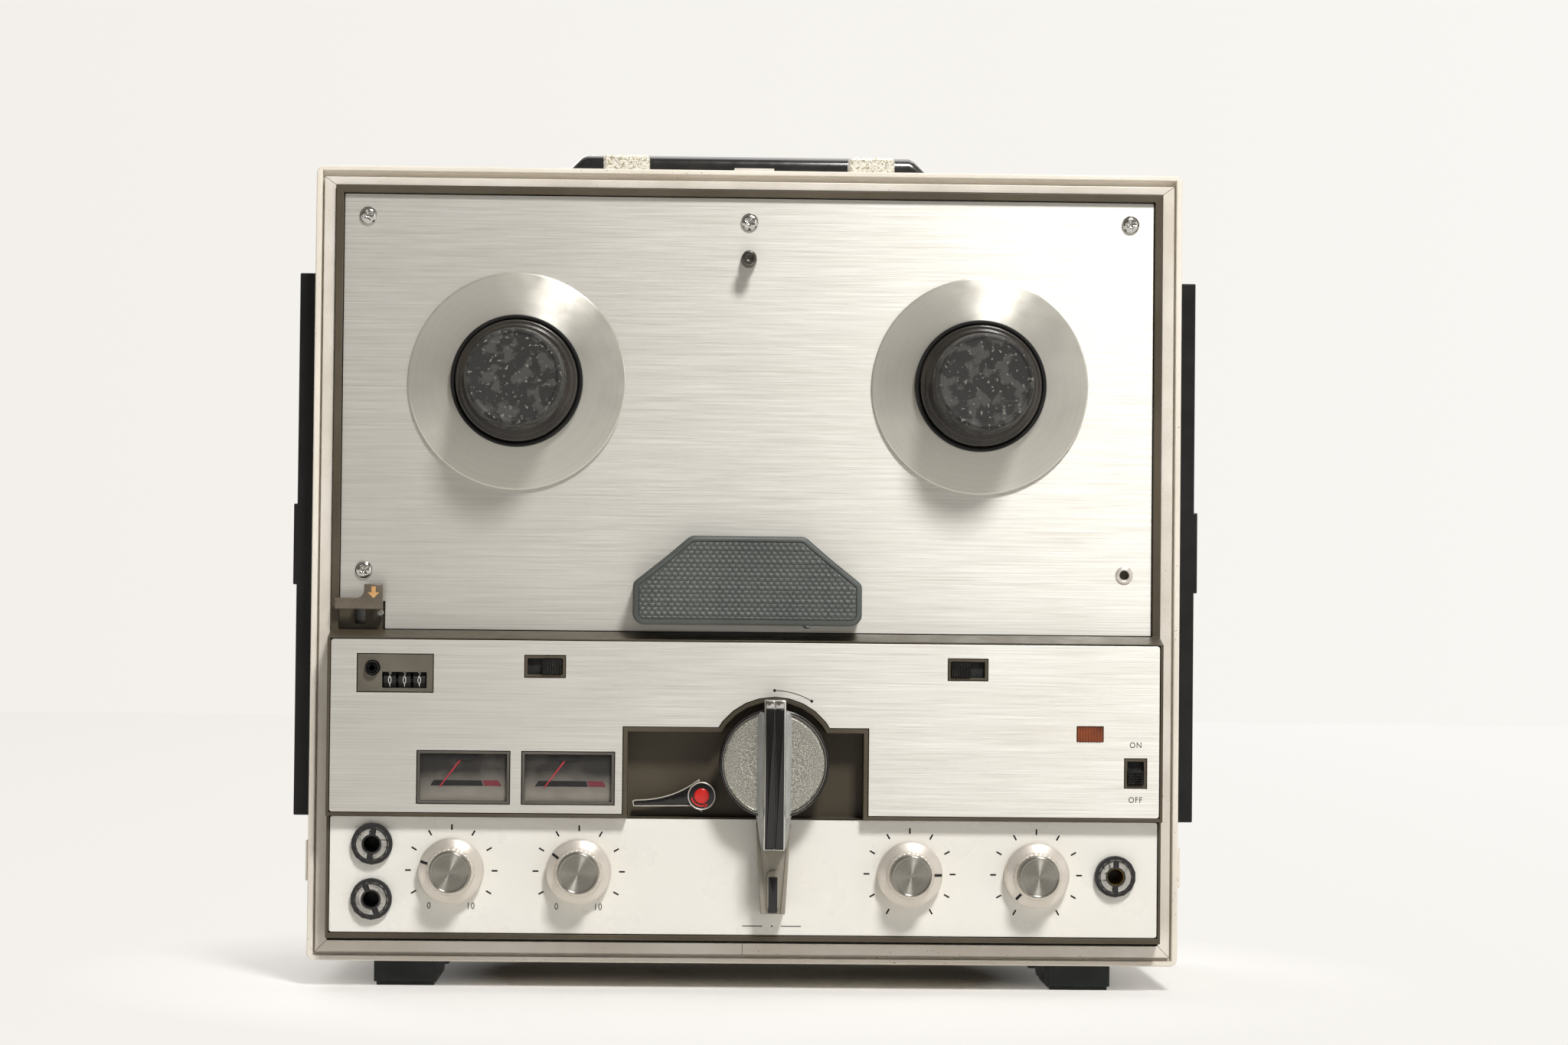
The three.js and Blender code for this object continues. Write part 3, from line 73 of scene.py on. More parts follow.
def grid_faces(rows, columns, wrap=False):
    """Quads between the neighbours of a grid of points; with wrap, the last column joins the first."""
    row = np.arange(rows - 1)[:, None]
    column = np.arange(columns if wrap else columns - 1)[None, :]
    right = (column + 1) % columns
    start, after = row * columns, (row + 1) * columns
    quads = [start + column, start + right, after + right, after + column]
    return np.stack([quad + 0 * row for quad in quads], axis=-1).reshape(-1, 4)


def eased(corners, radius, steps=4):
    """A line of corners whose inner corners are rounded.

    Each corner P is replaced by the curve (1 - t)² A + 2 t (1 - t) P + t² B, where A and B lie on the
    neighbouring lines, at most the radius and at most half a line away from P."""
    line = np.array(corners, float)
    at = line[1:-1]
    reach = []
    for end in (line[:-2], line[2:]):
        step = end - at
        length = np.maximum(np.linalg.norm(step, axis=1, keepdims=True), TINY)
        reach.append((at + step * np.minimum(radius / length, 0.5))[:, None])
    t = np.linspace(0, 1, steps + 1)[None, :, None]
    curve = (1 - t) ** 2 * reach[0] + 2 * t * (1 - t) * at[:, None] + t**2 * reach[1]
    return np.vstack([line[:1], curve.reshape(-1, 2), line[-1:]])


def eased_loop(corners, radius, steps=4):
    """A closed line of corners, each of them rounded as eased does."""
    line = np.array(corners, float)
    return eased(np.vstack([line[-1:], line, line[:1]]), radius, steps)[1:-1]


def inset_loop(loop, amount):
    """A closed line that runs left-handed round its shape, moved inwards along its corners' bisectors."""
    ahead = np.roll(loop, -1, axis=0) - loop
    ahead /= np.maximum(np.linalg.norm(ahead, axis=1, keepdims=True), TINY)
    behind = np.roll(ahead, 1, axis=0)
    normal = np.stack([-(ahead + behind)[:, 1], (ahead + behind)[:, 0]], axis=1)
    length = np.maximum(np.linalg.norm(normal, axis=1, keepdims=True), TINY)
    sharpest = 0.4
    return loop + normal / length * amount / np.maximum(length / 2, sharpest)


def around(steps):
    """The angles of a full turn in equal steps."""
    return np.linspace(0, 2 * math.pi, steps, endpoint=False)


def arc(x, z, radius, turn):
    """Points at a radius about a place in the X and Z plane, at several angles."""
    return np.stack([x + radius * np.cos(turn), z + radius * np.sin(turn)], axis=1)


def aimed(angle):
    """Two unit vectors in the X and Z plane: one along an angle, and one to its left."""
    along = np.array([math.cos(angle), math.sin(angle)])
    return along, np.array([-along[1], along[0]])


def at_depth(loop, y):
    """A line of (x, z) placed at one depth."""
    return np.stack([loop[:, 0], np.full(len(loop), float(y)), loop[:, 1]], axis=1)


def lathe(profile, x, z, steps=96):
    """A profile of (radius, y) carried round an axis along Y: x + r cos t, y, z + r sin t."""
    radius, depth = np.array(profile, float).T
    rings = [at_depth(arc(x, z, r, around(steps)), y) for r, y in zip(radius, depth)]
    return np.vstack(rings), grid_faces(len(radius), steps, wrap=True)


def cross_lathe(profile, y, z, steps=64):
    """A profile of (radius, x) carried round an axis along X: x, y + r cos t, z + r sin t."""
    points, faces = lathe(profile, y, z, steps)
    return points[:, [1, 0, 2]], faces


def loft(loops):
    """Closed lines of (x, y, z) with equal counts, joined one to the next and capped at both ends."""
    count = len(loops[0])
    points = np.vstack(loops)
    faces = grid_faces(len(loops), count, wrap=True).tolist()
    faces.append(list(range(count))[::-1])
    faces.append(list(range(len(points) - count, len(points))))
    return points, faces


def stepped(loop, steps):
    """A body with an outline of (x, z), drawn in by an inset at each of several depths."""
    return loft([at_depth(inset_loop(loop, inset), y) for inset, y in steps])


def rounded(edge, front):
    """The steps of an edge rounded by a quarter circle: inset e (1 - cos t), depth e (1 - sin t)."""
    quarter = np.radians([0, 30, 60, 90])
    return [(edge * (1 - math.cos(t)), front + edge * (1 - math.sin(t))) for t in quarter]


def slab(loop, front, back, edge=0.3):
    """A plate with an outline of (x, z), from its front to its back, with a rounded front edge."""
    loop = np.array(loop, float)
    if np.sum(loop[:, 0] * np.roll(loop[:, 1], -1) - loop[:, 1] * np.roll(loop[:, 0], -1)) < 0:
        loop = loop[::-1]
    return stepped(loop, [(edge * 0.3, back), (0, back - edge * 0.3)] + rounded(edge, front))


def box_loop(x0, x1, z0, z1, corner=0.0):
    """The four corners of an upright rectangle, rounded when a corner radius is given."""
    loop = np.array([[x0, z0], [x1, z0], [x1, z1], [x0, z1]], float)
    return eased_loop(loop, corner) if corner else loop


def ring_loop(x, z, radius, steps=48):
    """A circle of points in the X and Z plane."""
    return arc(x, z, radius, around(steps))


def gathered(shapes):
    """Several (points, faces) as one."""
    points, faces, start = [], [], 0
    for corners, quads in shapes:
        points.append(np.asarray(corners, float))
        faces += [[int(i) + start for i in face] for face in quads]
        start += len(corners)
    return np.vstack(points), faces


def piece(name, shape, material, body="recorder", stands_for=(), smooth=40):
    """Makes one named piece of a shape in millimetres, which rides on a body and may stand for CAD nodes."""
    points, faces = shape
    mesh = bpy.data.meshes.new(name)
    places = (np.asarray(points, float) + (0.0, RIM, 0.0)) * MM
    mesh.from_pydata(places.tolist(), [], [list(map(int, face)) for face in faces])
    work = bmesh.new()
    work.from_mesh(mesh)
    bmesh.ops.remove_doubles(work, verts=work.verts, dist=SAME)
    bmesh.ops.dissolve_degenerate(work, edges=work.edges, dist=SAME / 10)
    bmesh.ops.recalc_face_normals(work, faces=work.faces)
    work.to_mesh(mesh)
    work.free()
    mesh.materials.append(material)
    mesh.shade_smooth()
    made = bpy.data.objects.new(name, mesh)
    bpy.context.scene.collection.objects.link(made)
    if smooth:
        mesh.set_sharp_from_angle(angle=math.radians(smooth))
    if stands_for:
        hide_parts(*stands_for)
    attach(made, body)
    return made


def dress(name, material, bevel=0.0):
    """Gives a CAD node its material, and rounds its sharp edges by a bevel in millimetres."""
    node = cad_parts[name]
    node.data.materials.clear()
    node.data.materials.append(material)
    if bevel:
        weld = node.modifiers.new("merged corners", "WELD")
        weld.merge_threshold = SAME
        edge = node.modifiers.new("eased edges", "BEVEL")
        edge.width = bevel * MM
        edge.segments = 3
        edge.limit_method = "ANGLE"
        edge.angle_limit = math.radians(40)
        edge.use_clamp_overlap = False
        edge.harden_normals = True

# Finishes


def linear(code):
    """An sRGB colour as #rrggbb made linear: c / 12.92 up to 0.04045, else ((c + 0.055) / 1.055) to 2.4."""
    values = [int(code[i : i + 2], 16) / 255 for i in (1, 3, 5)]
    return (*(v / 12.92 if v <= 0.04045 else ((v + 0.055) / 1.055) ** 2.4 for v in values), 1.0)


def feed(node, inputs):
    """Links each named input of a node to a socket or a node's first output, or sets a plain value."""
    for name, value in inputs.items():
        if isinstance(value, bpy.types.Node):
            value = value.outputs[0]
        if isinstance(value, bpy.types.NodeSocket):
            node.id_data.links.new(value, node.inputs[name])
        else:
            node.inputs[name].default_value = value


def add(tree, kind, inputs=None, **settings):
    """Adds a shader node with its settings and its inputs."""
    node = tree.nodes.new("ShaderNode" + kind)
    for name, value in settings.items():
        setattr(node, name, value)
    feed(node, inputs or {})
    return node


def finish(name, color, roughness, metallic=0.0, **sockets):
    """Starts a material with one colour: its tree and its shader, to be worked on further."""
    material = bpy.data.materials.new(name)
    material.use_nodes = True
    tree = material.node_tree
    shader = tree.nodes["Principled BSDF"]
    feed(shader, {"Base Color": linear(color), "Roughness": roughness, "Metallic": metallic})
    feed(shader, {key.replace("_", " "): value for key, value in sockets.items()})
    return material, tree, shader


def mottling(tree, size, low=0.0, high=1.0, stretch=(1, 1, 1), detail=3.0, spread=(0.35, 0.65), by="Object"):
    """Soft patches of a size in millimetres, drawn out along each axis by a stretch, from low to high."""
    place = add(tree, "TexCoord")
    scale = [1 / (size * MM * s) for s in stretch]
    placed = add(tree, "Mapping", {"Vector": place.outputs[by], "Scale": scale})
    noise = add(tree, "TexNoise", {"Vector": placed, "Scale": 1.0, "Detail": detail})
    ends = {"From Min": spread[0], "From Max": spread[1], "To Min": low, "To Max": high}
    return add(tree, "MapRange", {"Value": noise, **ends})


def mixed(tree, factor, first, second):
    """One colour fading to another as a factor goes from 0 to 1."""
    return add(tree, "Mix", {0: factor, 6: first, 7: second}, data_type="RGBA").outputs[2]


def raised(tree, shader, height, distance):
    """Raises a surface by a height pattern, over a distance in millimetres."""
    feed(shader, {"Normal": add(tree, "Bump", {"Height": height, "Distance": distance * MM})})


def speckled(material, speck, size, sparse=0.7):
    """Specks of rust or dirt over a material: points of a size in millimetres, in patches of 45 mm."""
    tree = material.node_tree
    base = tree.nodes["Principled BSDF"].inputs["Base Color"]
    points = mottling(tree, size, detail=2.0, spread=(sparse, sparse + 0.03))
    patches = mottling(tree, 45, 0.15, 1.0, spread=(0.45, 0.6))
    both = add(tree, "Math", {0: points, 1: patches}, operation="MULTIPLY")
    tree.links.new(mixed(tree, both, base.links[0].from_socket, linear(speck)), base)


def moulded(name, color, worn, roughness, grain=0.5, depth=0.02, patch=30, **sockets):
    """Moulded ABS or painted metal: a fine grain that breaks the sheen, and slow patches of a worn tone."""
    material, tree, shader = finish(name, color, roughness, **sockets)
    patches = mottling(tree, patch, detail=6.0)
    feed(shader, {"Base Color": mixed(tree, patches, linear(color), linear(worn))})
    feed(shader, {"Roughness": mottling(tree, patch / 3, roughness * 0.85, min(1.0, roughness * 1.2))})
    raised(tree, shader, mottling(tree, grain), depth)
    return material


def brushed(name, bright, dull, roughness, line=0.32, anisotropy=0.72, metallic=0.82):
    """Aluminium brushed along X and anodised: scratches that stretch its highlights upright.

    The real scratches are about 0.1 mm apart; they are drawn about 0.3 mm apart so that they show."""
    material, tree, shader = finish(name, bright, roughness, metallic, Anisotropic=anisotropy)
    lines = mottling(tree, line, stretch=(140, 1, 1), detail=5.0, spread=(0.3, 0.7))
    clouds = mottling(tree, 70, 0.0, 0.35, detail=5.0)
    streaked = mixed(tree, lines, linear(dull), linear(bright))
    feed(shader, {"Base Color": mixed(tree, clouds, streaked, linear(dull))})
    ends = roughness * 0.8, roughness * 1.2
    scratches = mottling(tree, line * 0.8, *ends, stretch=(90, 1, 1), spread=(0.2, 0.8))
    feed(shader, {"Roughness": scratches})
    feed(shader, {"Tangent": add(tree, "CombineXYZ", {"Z": 1.0})})
    raised(tree, shader, lines, 0.002)
    return material


def spun(name, bright, dull, roughness, line=0.6, anisotropy=0.75, depth=0.006, metallic=0.85):
    """Metal turned on a lathe: fine rings about its axis, which gather its highlights into fans.

    It reads the piece's own polar map: u is the turn and v the way out from the axis, in 100 mm."""
    material, tree, shader = finish(name, bright, roughness, metallic, Anisotropic=anisotropy)
    rings = mottling(tree, line * 10, 0.0, 1.0, (1000, 1, 1), 5.0, (0.2, 0.8), by="UV")
    feed(shader, {"Base Color": mixed(tree, rings, linear(dull), linear(bright))})
    feed(shader, {"Roughness": mottling(tree, 9, roughness * 0.85, roughness * 1.15)})
    feed(shader, {"Tangent": add(tree, "Tangent", direction_type="UV_MAP")})
    feed(shader, {"Anisotropic Rotation": 0.25})
    raised(tree, shader, rings, depth)
    return material


# Cream lacquer on the case: satin, yellowed in slow patches, with specks of dirt
cream_lacquer = moulded("cream_lacquer_satin", "#e3dbce", "#dad1c2", 0.42, 0.8, 0.015, 60)
speckled(cream_lacquer, "#7a6247", 1.0)
# Extruded aluminium of the trim under a pale lacquer that has pitted: satin, with brown specks
trim_aluminium = moulded("lacquered_aluminium_trim", "#e4ddd2", "#d2c9bb", 0.36, 0.7, 0.02, 35, Metallic=0.2)
speckled(trim_aluminium, "#5a4734", 0.9, 0.68)
# Brushed and clear-anodised aluminium of the deck and the control plate: soft light drawn out upright
deck_aluminium = brushed("brushed_aluminium_deck", "#e2e0da", "#cac6bc", 0.41)
# Cream stoved enamel of the lower plate: smooth, a soft gloss
cream_enamel = moulded("stoved_enamel_cream", "#e2dfd7", "#e0dcd3", 0.3, 1.6, 0.006, 50)
# Spun aluminium of the reel discs, dulled by years of reels: broad fans of light
disc_aluminium = spun("spun_aluminium_disc", "#e2dfd5", "#d2cec2", 0.36, 0.6, 0.85, 0.003, 0.73)
# Fine-turned aluminium of the knobs: a soft silver flange, and a darker cap with sharp fans
knob_aluminium = spun("turned_aluminium_knob", "#e6dfd5", "#d8d0c4", 0.46, 0.35, 0.75, 0.001, 0.65)
cap_aluminium = spun("turned_aluminium_cap", "#a5a198", "#86827a", 0.3, 0.3, 0.94, 0.0006, 0.95)

# Moulded ABS with a matt, aged skin that hardly mirrors: the bezel, the doors and the feet
AGED = {"Specular_IOR_Level": 0.3}
bezel_abs = moulded("moulded_abs_brown_grey", "#453d30", "#51493b", 0.4, 0.5, 0.012, 40, **AGED)
black_abs = moulded("moulded_abs_black", "#121211", "#1a1918", 0.38, depth=0.008, **AGED)
foot_abs = moulded("moulded_abs_green_black", "#1a1e1c", "#222624", 0.5, 0.6, 0.012, 20, **AGED)
# Moulded ABS with an even low sheen: head cover, counter, pause lever, meters, reel hubs
cover_abs = moulded("moulded_abs_slate", "#434643", "#4e514d", 0.42, 0.4, 0.006, 25)
counter_abs = moulded("moulded_abs_olive_grey", "#575147", "#625c51", 0.36, 0.5, 0.008, 14)
pause_abs = moulded("moulded_abs_taupe", "#5b5246", "#675d50", 0.32, 0.5, 0.006, 8)
meter_abs = moulded("moulded_abs_grey", "#57524a", "#4c4840", 0.38, 0.5, 0.008, 20)
hub_abs = moulded("moulded_abs_hub", "#2b2723", "#37322c", 0.24, 0.5, 0.002, 20)
# The slide switches' buttons are a little shiny, so that their ridges catch the light, and the
# counter's wheels are matt, so that only the figures show
slider_abs = moulded("moulded_abs_slider", "#2b2a28", "#393835", 0.26, 0.5, 0.003, 8)
wheel_abs = moulded("matt_abs_black", "#0d0d0c", "#151514", 0.65, 0.5, 0.004, 8)
# Polished ABS and lacquer, which show clear highlights: skirts, handle, fast-wind lever, knob's ridge
gloss_black = moulded("polished_abs_black", "#141313", "#1d1b1a", 0.14, 4, 0.004, 40)
COAT = {"Coat_Weight": 1.0, "Coat_Roughness": 0.08}
handle_abs = moulded("polished_abs_handle", "#1a1918", "#262422", 0.2, 1.2, 0.003, 14, **COAT)
lever_abs = moulded("moulded_abs_warm_grey", "#8b8477", "#807a6d", 0.16, 0.5, 0.004, 10)
knob_lacquer = moulded("flake_lacquer_ridge", "#a9aaa7", "#9b9c99", 0.16, 0.4, 0.006, 9)
# Inside: a brown resin board, black paper cones with a felt-like face, and matt rubber
board_resin = moulded("phenolic_board_brown", "#7a5a30", "#6a4c27", 0.55, 0.5, 0.01, 10)
cone_paper = moulded("pressed_paper_cone", "#26241f", "#302d27", 0.9, 0.6, 0.05, 15)
belt_rubber = moulded("moulded_rubber_black", "#22211f", "#2c2a27", 0.75, 0.5, 0.02, 10)
# Machined steel behind the deck: streaks too coarse to mirror
steel = brushed("machined_steel", "#a8a8a4", "#8c8c88", 0.36, line=0.8, anisotropy=0.3)
# Plated and plain metals: chromium is a hard bright mirror, satin nickel spreads its light, and
# blued steel and turned brass are dark and yellow with a short soft highlight
chrome = finish("chromium_plate", "#c9c7c2", 0.12, 1.0)[0]
nickel = finish("satin_nickel_plate", "#dedbd4", 0.34, 1.0)[0]
dark_steel = finish("blued_steel", "#5d5a55", 0.3, 1.0)[0]
brass = finish("turned_brass", "#b89a54", 0.3, 1.0)[0]
# Printing inks, flat and nearly matt, and a stamped gold foil with a sheen
black_ink = finish("screen_ink_black", "#0c0b0a", 0.6, **AGED)[0]
white_ink = finish("screen_ink_white", "#c9c6bf", 0.6)[0]
edge_ink = finish("screen_ink_pale", "#a9a49a", 0.5)[0]
crimson_print = finish("screen_ink_crimson", "#7d2230", 0.5)[0]
gold_foil = finish("hot_foil_gold", "#e0ae72", 0.35, 0.5)[0]
# Red lacquer: a satin needle and a glossy button
needle_red = finish("red_lacquer_needle", "#c0303f", 0.4)[0]
red_paint = finish("red_lacquer", "#c41f1a", 0.25)[0]
# Cast acrylic of the meters' windows: a film that hardly shows, so that the card behind stays crisp
clear_acrylic = finish("cast_acrylic_clear", "#4a4845", 0.05, Alpha=0.1)[0]


def cap_rubber_finish():
    """Aged rubber of the reel caps: grey bloom in spots and blotches over near-black, with a matt skin."""
    material, tree, shader = finish("aged_rubber_cap", "#3a3a38", 0.66, Specular_IOR_Level=0.3)
    blotches = mottling(tree, 6, detail=6.0, spread=(0.5, 0.56))
    spots = mottling(tree, 1.5, detail=1.0, spread=(0.66, 0.69))
    ground = mixed(tree, blotches, linear("#2a2927"), linear("#444340"))
    feed(shader, {"Base Color": mixed(tree, spots, ground, linear("#76756c"))})
    feed(shader, {"Roughness": mottling(tree, 5, 0.5, 0.75)})
    raised(tree, shader, mottling(tree, 0.7), 0.008)
    return material


def worn_plating_finish():
    """Nickel-brass plate gone to corrosion: pale metal pitted with olive in spots about 0.7 mm wide."""
    material, tree, shader = finish("corroded_nickel_brass_plate", "#d9cfb6", 0.38)
    pits = mottling(tree, 0.7, detail=4.0, spread=(0.52, 0.64))
    feed(shader, {"Base Color": mixed(tree, pits, linear("#e4dfd2"), linear("#968c6c"))})
    feed(shader, {"Metallic": mottling(tree, 4, 0.25, 0.75)})
    feed(shader, {"Roughness": mottling(tree, 1.6, 0.3, 0.65)})
    raised(tree, shader, mottling(tree, 0.9, detail=6.0), 0.08)
    return material


def sparkle_finish():
    """Silver lacquer with coarse flake on the function knob: grey, with points of light 0.4 mm wide."""
    material, tree, shader = finish("flake_lacquer_silver", "#9b9a94", 0.38, 0.75)
    flakes = mottling(tree, 0.4, detail=1.0, spread=(0.45, 0.7))
    feed(shader, {"Base Color": mixed(tree, flakes, linear("#8b8981"), linear("#dedacd"))})
    raised(tree, shader, flakes, 0.004)
    return material


def amber_finish():
    """Transparent orange acrylic over a dark lamp box: deep orange, lit a little from inside."""
    material, tree, shader = finish("moulded_acrylic_amber", "#7a3412", 0.2, IOR=1.49)
    depth = mottling(tree, 5, stretch=(3, 1, 1))
    feed(shader, {"Base Color": mixed(tree, depth, linear("#54220a"), linear("#823c14"))})
    feed(shader, {"Coat Weight": 0.3})
    return material


def card_finish():
    """Printed card behind the meters' windows: a grey with painted shade, darkest at the top where the
    housing would shade it.
    """
    material, tree, shader = finish("printed_card_grey_painted_shade", "#6a645a", 0.5)
    height = add(tree, "SeparateXYZ", {0: add(tree, "TexCoord").outputs["Object"]}).outputs["Z"]
    low, high = [corner[2] * MM for corner in corners("level_meters")]
    shade = {"From Min": low + 0.15 * (high - low), "From Max": low + 0.65 * (high - low)}
    up = add(tree, "MapRange", {"Value": height, **shade})
    fibres = mottling(tree, 6, -0.1, 0.1, detail=4.0)
    up = add(tree, "Math", {0: up, 1: fibres}, operation="ADD")
    # Painted shade: pale grey low on the card, near-black at the top
    feed(shader, {"Base Color": mixed(tree, up, linear("#9c9589"), linear("#1c1814"))})
    return material


cap_rubber = cap_rubber_finish()
worn_plating = worn_plating_finish()
sparkle_lacquer = sparkle_finish()
amber_acrylic = amber_finish()
meter_card_painted_shade = card_finish()

# Camera, light and floor


# The backdrop's white, with painted shade that makes it a little greyer on the left
LEFT_WHITE = linear("#efebe6")
RIGHT_WHITE = linear("#fbf9f5")


def looked_at(tree):
    """1 for a ray that shows the backdrop, straight or in metal or glass, and 0 for one that gives light."""
    rays = add(tree, "LightPath").outputs
    seen = add(tree, "Math", {0: rays["Is Camera Ray"], 1: rays["Is Glossy Ray"]}, operation="MAXIMUM")
    both = {0: seen, 1: rays["Is Transmission Ray"]}
    return add(tree, "Math", both, operation="MAXIMUM")


def floor_finish():
    """White card that runs up into the backdrop: plain card near the object, fading to the backdrop's white.

    The fade follows the distance from the middle: the card keeps the object's shadow and has no horizon."""
    material, tree, shader = finish("matt_card_white", "#fbf9f5", 0.8)
    place = add(tree, "TexCoord").outputs["Object"]
    away = add(tree, "VectorMath", {0: place}, operation="LENGTH").outputs["Value"]
    far = add(tree, "MapRange", {"Value": away, "From Min": 0.1, "From Max": 0.28})
    across = add(tree, "SeparateXYZ", {0: place}).outputs["X"]
    side = add(tree, "MapRange", {"Value": across, "From Min": -1.2, "From Max": 0.9})
    # The backdrop's glow carries painted shade: greyer on the left
    glow = add(tree, "Emission", {"Color": mixed(tree, side, LEFT_WHITE, RIGHT_WHITE)})
    share = add(tree, "Math", {0: far, 1: looked_at(tree)}, operation="MULTIPLY")
    blend = add(tree, "MixShader", {0: share, 1: shader, 2: glow})
    feed(tree.nodes["Material Output"], {"Surface": blend})
    return material


def studio():
    """The camera at the photograph's place, a pale floor, a lamp from the upper right and soft light.

    The lens and the camera's place and turn come from a pinhole fitted to the case rim's corners. The
    lamps face the machine's middle, and what metal mirrors in front of it is a room darker than the
    backdrop."""
    scene = bpy.context.scene
    scene.view_settings.view_transform = "Standard"

    lens = bpy.data.cameras.new("camera")
    lens.sensor_width = 36
    lens.lens = 86.13
    camera = bpy.data.objects.new("camera", lens)
    camera.location = (-0.0238, -1.5406, 0.1448)
    camera.rotation_euler = [math.radians(a) for a in (91.49957, -0.57105, -1.49546)]
    scene.collection.objects.link(camera)
    scene.camera = camera

    lamps = (
        ("key_lamp", (0.5, -1.5, 1.75), 0.4, 47.0),
        ("right_softbox", (1.5, -1.5, 0.55), 0.9, 4.0),
        ("top_softbox", (0.1, 0.5, 1.7), 1.4, 9.0),
        ("rear_softbox", (-0.8, 1.8, 1.0), 1.0, 20.0),
    )
    target = np.array([0.0, 0.0, 0.15])
    for name, place, size, power in lamps:
        lamp = bpy.data.lights.new(name, "AREA")
        lamp.size = size
        lamp.energy = power
        holder = bpy.data.objects.new(name, lamp)
        holder.location = place
        away = np.array(place) - target
        turn = math.atan2(away[1], away[0]) + math.pi / 2
        tilt = math.acos(away[2] / np.linalg.norm(away))
        holder.rotation_euler = (tilt, 0, turn)
        scene.collection.objects.link(holder)

    world = bpy.data.worlds.new("studio")
    world.use_nodes = True
    tree = world.node_tree
    way = add(tree, "SeparateXYZ", {0: add(tree, "TexCoord").outputs["Generated"]}).outputs
    side = add(tree, "MapRange", {"Value": way["X"], "From Min": -0.45, "From Max": 0.35})
    # The backdrop seen by the camera and in metal carries painted shade: greyer on the left
    backdrop = mixed(tree, side, LEFT_WHITE, RIGHT_WHITE)
    room = mixed(tree, side, linear("#6b6761"), linear("#8f8b86"))
    front = add(tree, "MapRange", {"Value": way["Y"], "From Min": 0.1, "From Max": -0.4})
    backdrop = mixed(tree, front, backdrop, room)
    light = mixed(tree, looked_at(tree), linear("#4c4a48"), backdrop)
    feed(tree.nodes["Background"], {"Color": light, "Strength": 1.0})
    scene.world = world

    reach = 4.0
    mesh = bpy.data.meshes.new("floor")
    sheet_ends = ((-reach, -reach, 0), (reach, -reach, 0), (reach, reach, 0), (-reach, reach, 0))
    mesh.from_pydata(sheet_ends, [], [(0, 1, 2, 3)])
    floor = bpy.data.objects.new("floor", mesh)
    mesh.materials.append(floor_finish())
    scene.collection.objects.link(floor)


studio()

# Case, trim, bezel and plates

for material, bevel, names in (
    (cream_lacquer, 0.6, "case_shell rear_cover battery_door"),
    (trim_aluminium, 0.25, "front_trim"),
    (bezel_abs, 0.25, "deck_bezel"),
    (deck_aluminium, 0.15, "deck_plate control_plate"),
    (cream_enamel, 0.2, "lower_plate"),
    (worn_plating, 1.0, "left_handle_bracket right_handle_bracket"),
    (black_abs, 0.5, "left_speaker_door right_speaker_door"),
    (cone_paper, 0.0, "left_speaker right_speaker"),
    (steel, 0.0, "chassis_plate motor transformer head_block pinch_roller_arm capstan"),
    (brass, 0.0, "motor_pulley"),
    (belt_rubber, 0.0, "drive_belt"),
    (belt_rubber, 0.2, "pinch_roller"),
    (board_resin, 0.0, "circuit_board"),
    (black_abs, 0.3, "battery_box mains_inlet"),
    (meter_abs, 0.25, "level_meters"),
    (gloss_black, 0.0, "microphone_jacks headphone_jack"),
    (counter_abs, 0.2, "counter_body"),
    (wheel_abs, 0.15, "counter_wheel_hundreds counter_wheel_tens counter_wheel_units"),
):
    for name in names.split():
        dress(name, material, bevel)

# Reels


def polar_map(made, x, z):
    """Gives a turned piece its own map: u is the turn about its axis, v is (radius + depth) / 100 mm."""
    mesh = made.data
    places = np.empty(len(mesh.vertices) * 3)
    mesh.vertices.foreach_get("co", places)
    places = places.reshape(-1, 3) / MM
    corner = np.empty(len(mesh.loops), int)
    mesh.loops.foreach_get("vertex_index", corner)
    at = places[corner]
    turn = np.arctan2(at[:, 2] - z, at[:, 0] - x) / (2 * math.pi) % 1.0
    starts = np.empty(len(mesh.polygons), int)
    mesh.polygons.foreach_get("loop_start", starts)
    counts = np.diff(np.append(starts, len(corner)))
    highest = np.repeat(np.maximum.reduceat(turn, starts), counts)
    turn = np.where(highest - turn > 0.5, turn + 1.0, turn)
    out = (np.hypot(at[:, 0] - x, at[:, 2] - z) - at[:, 1]) / 100
    layer = mesh.uv_layers.new(name="polar")
    layer.data.foreach_set("uv", np.stack([turn, out], axis=1).ravel())


def turned(name, profile, x, z, material, body, stands_for=(), slot=None, steps=96, edge=0.3):
    """A piece turned on a lathe from a profile of (radius, y), with its corners eased and closed.

    A profile that doesn't start on the axis ends where it starts."""
    closed = profile if profile[0][0] == 0 else profile + profile[:1]
    shape = lathe(eased(closed, edge, steps=3), x, z, steps)
    polar_map(piece(name, shape, material, body, stands_for), x, z)


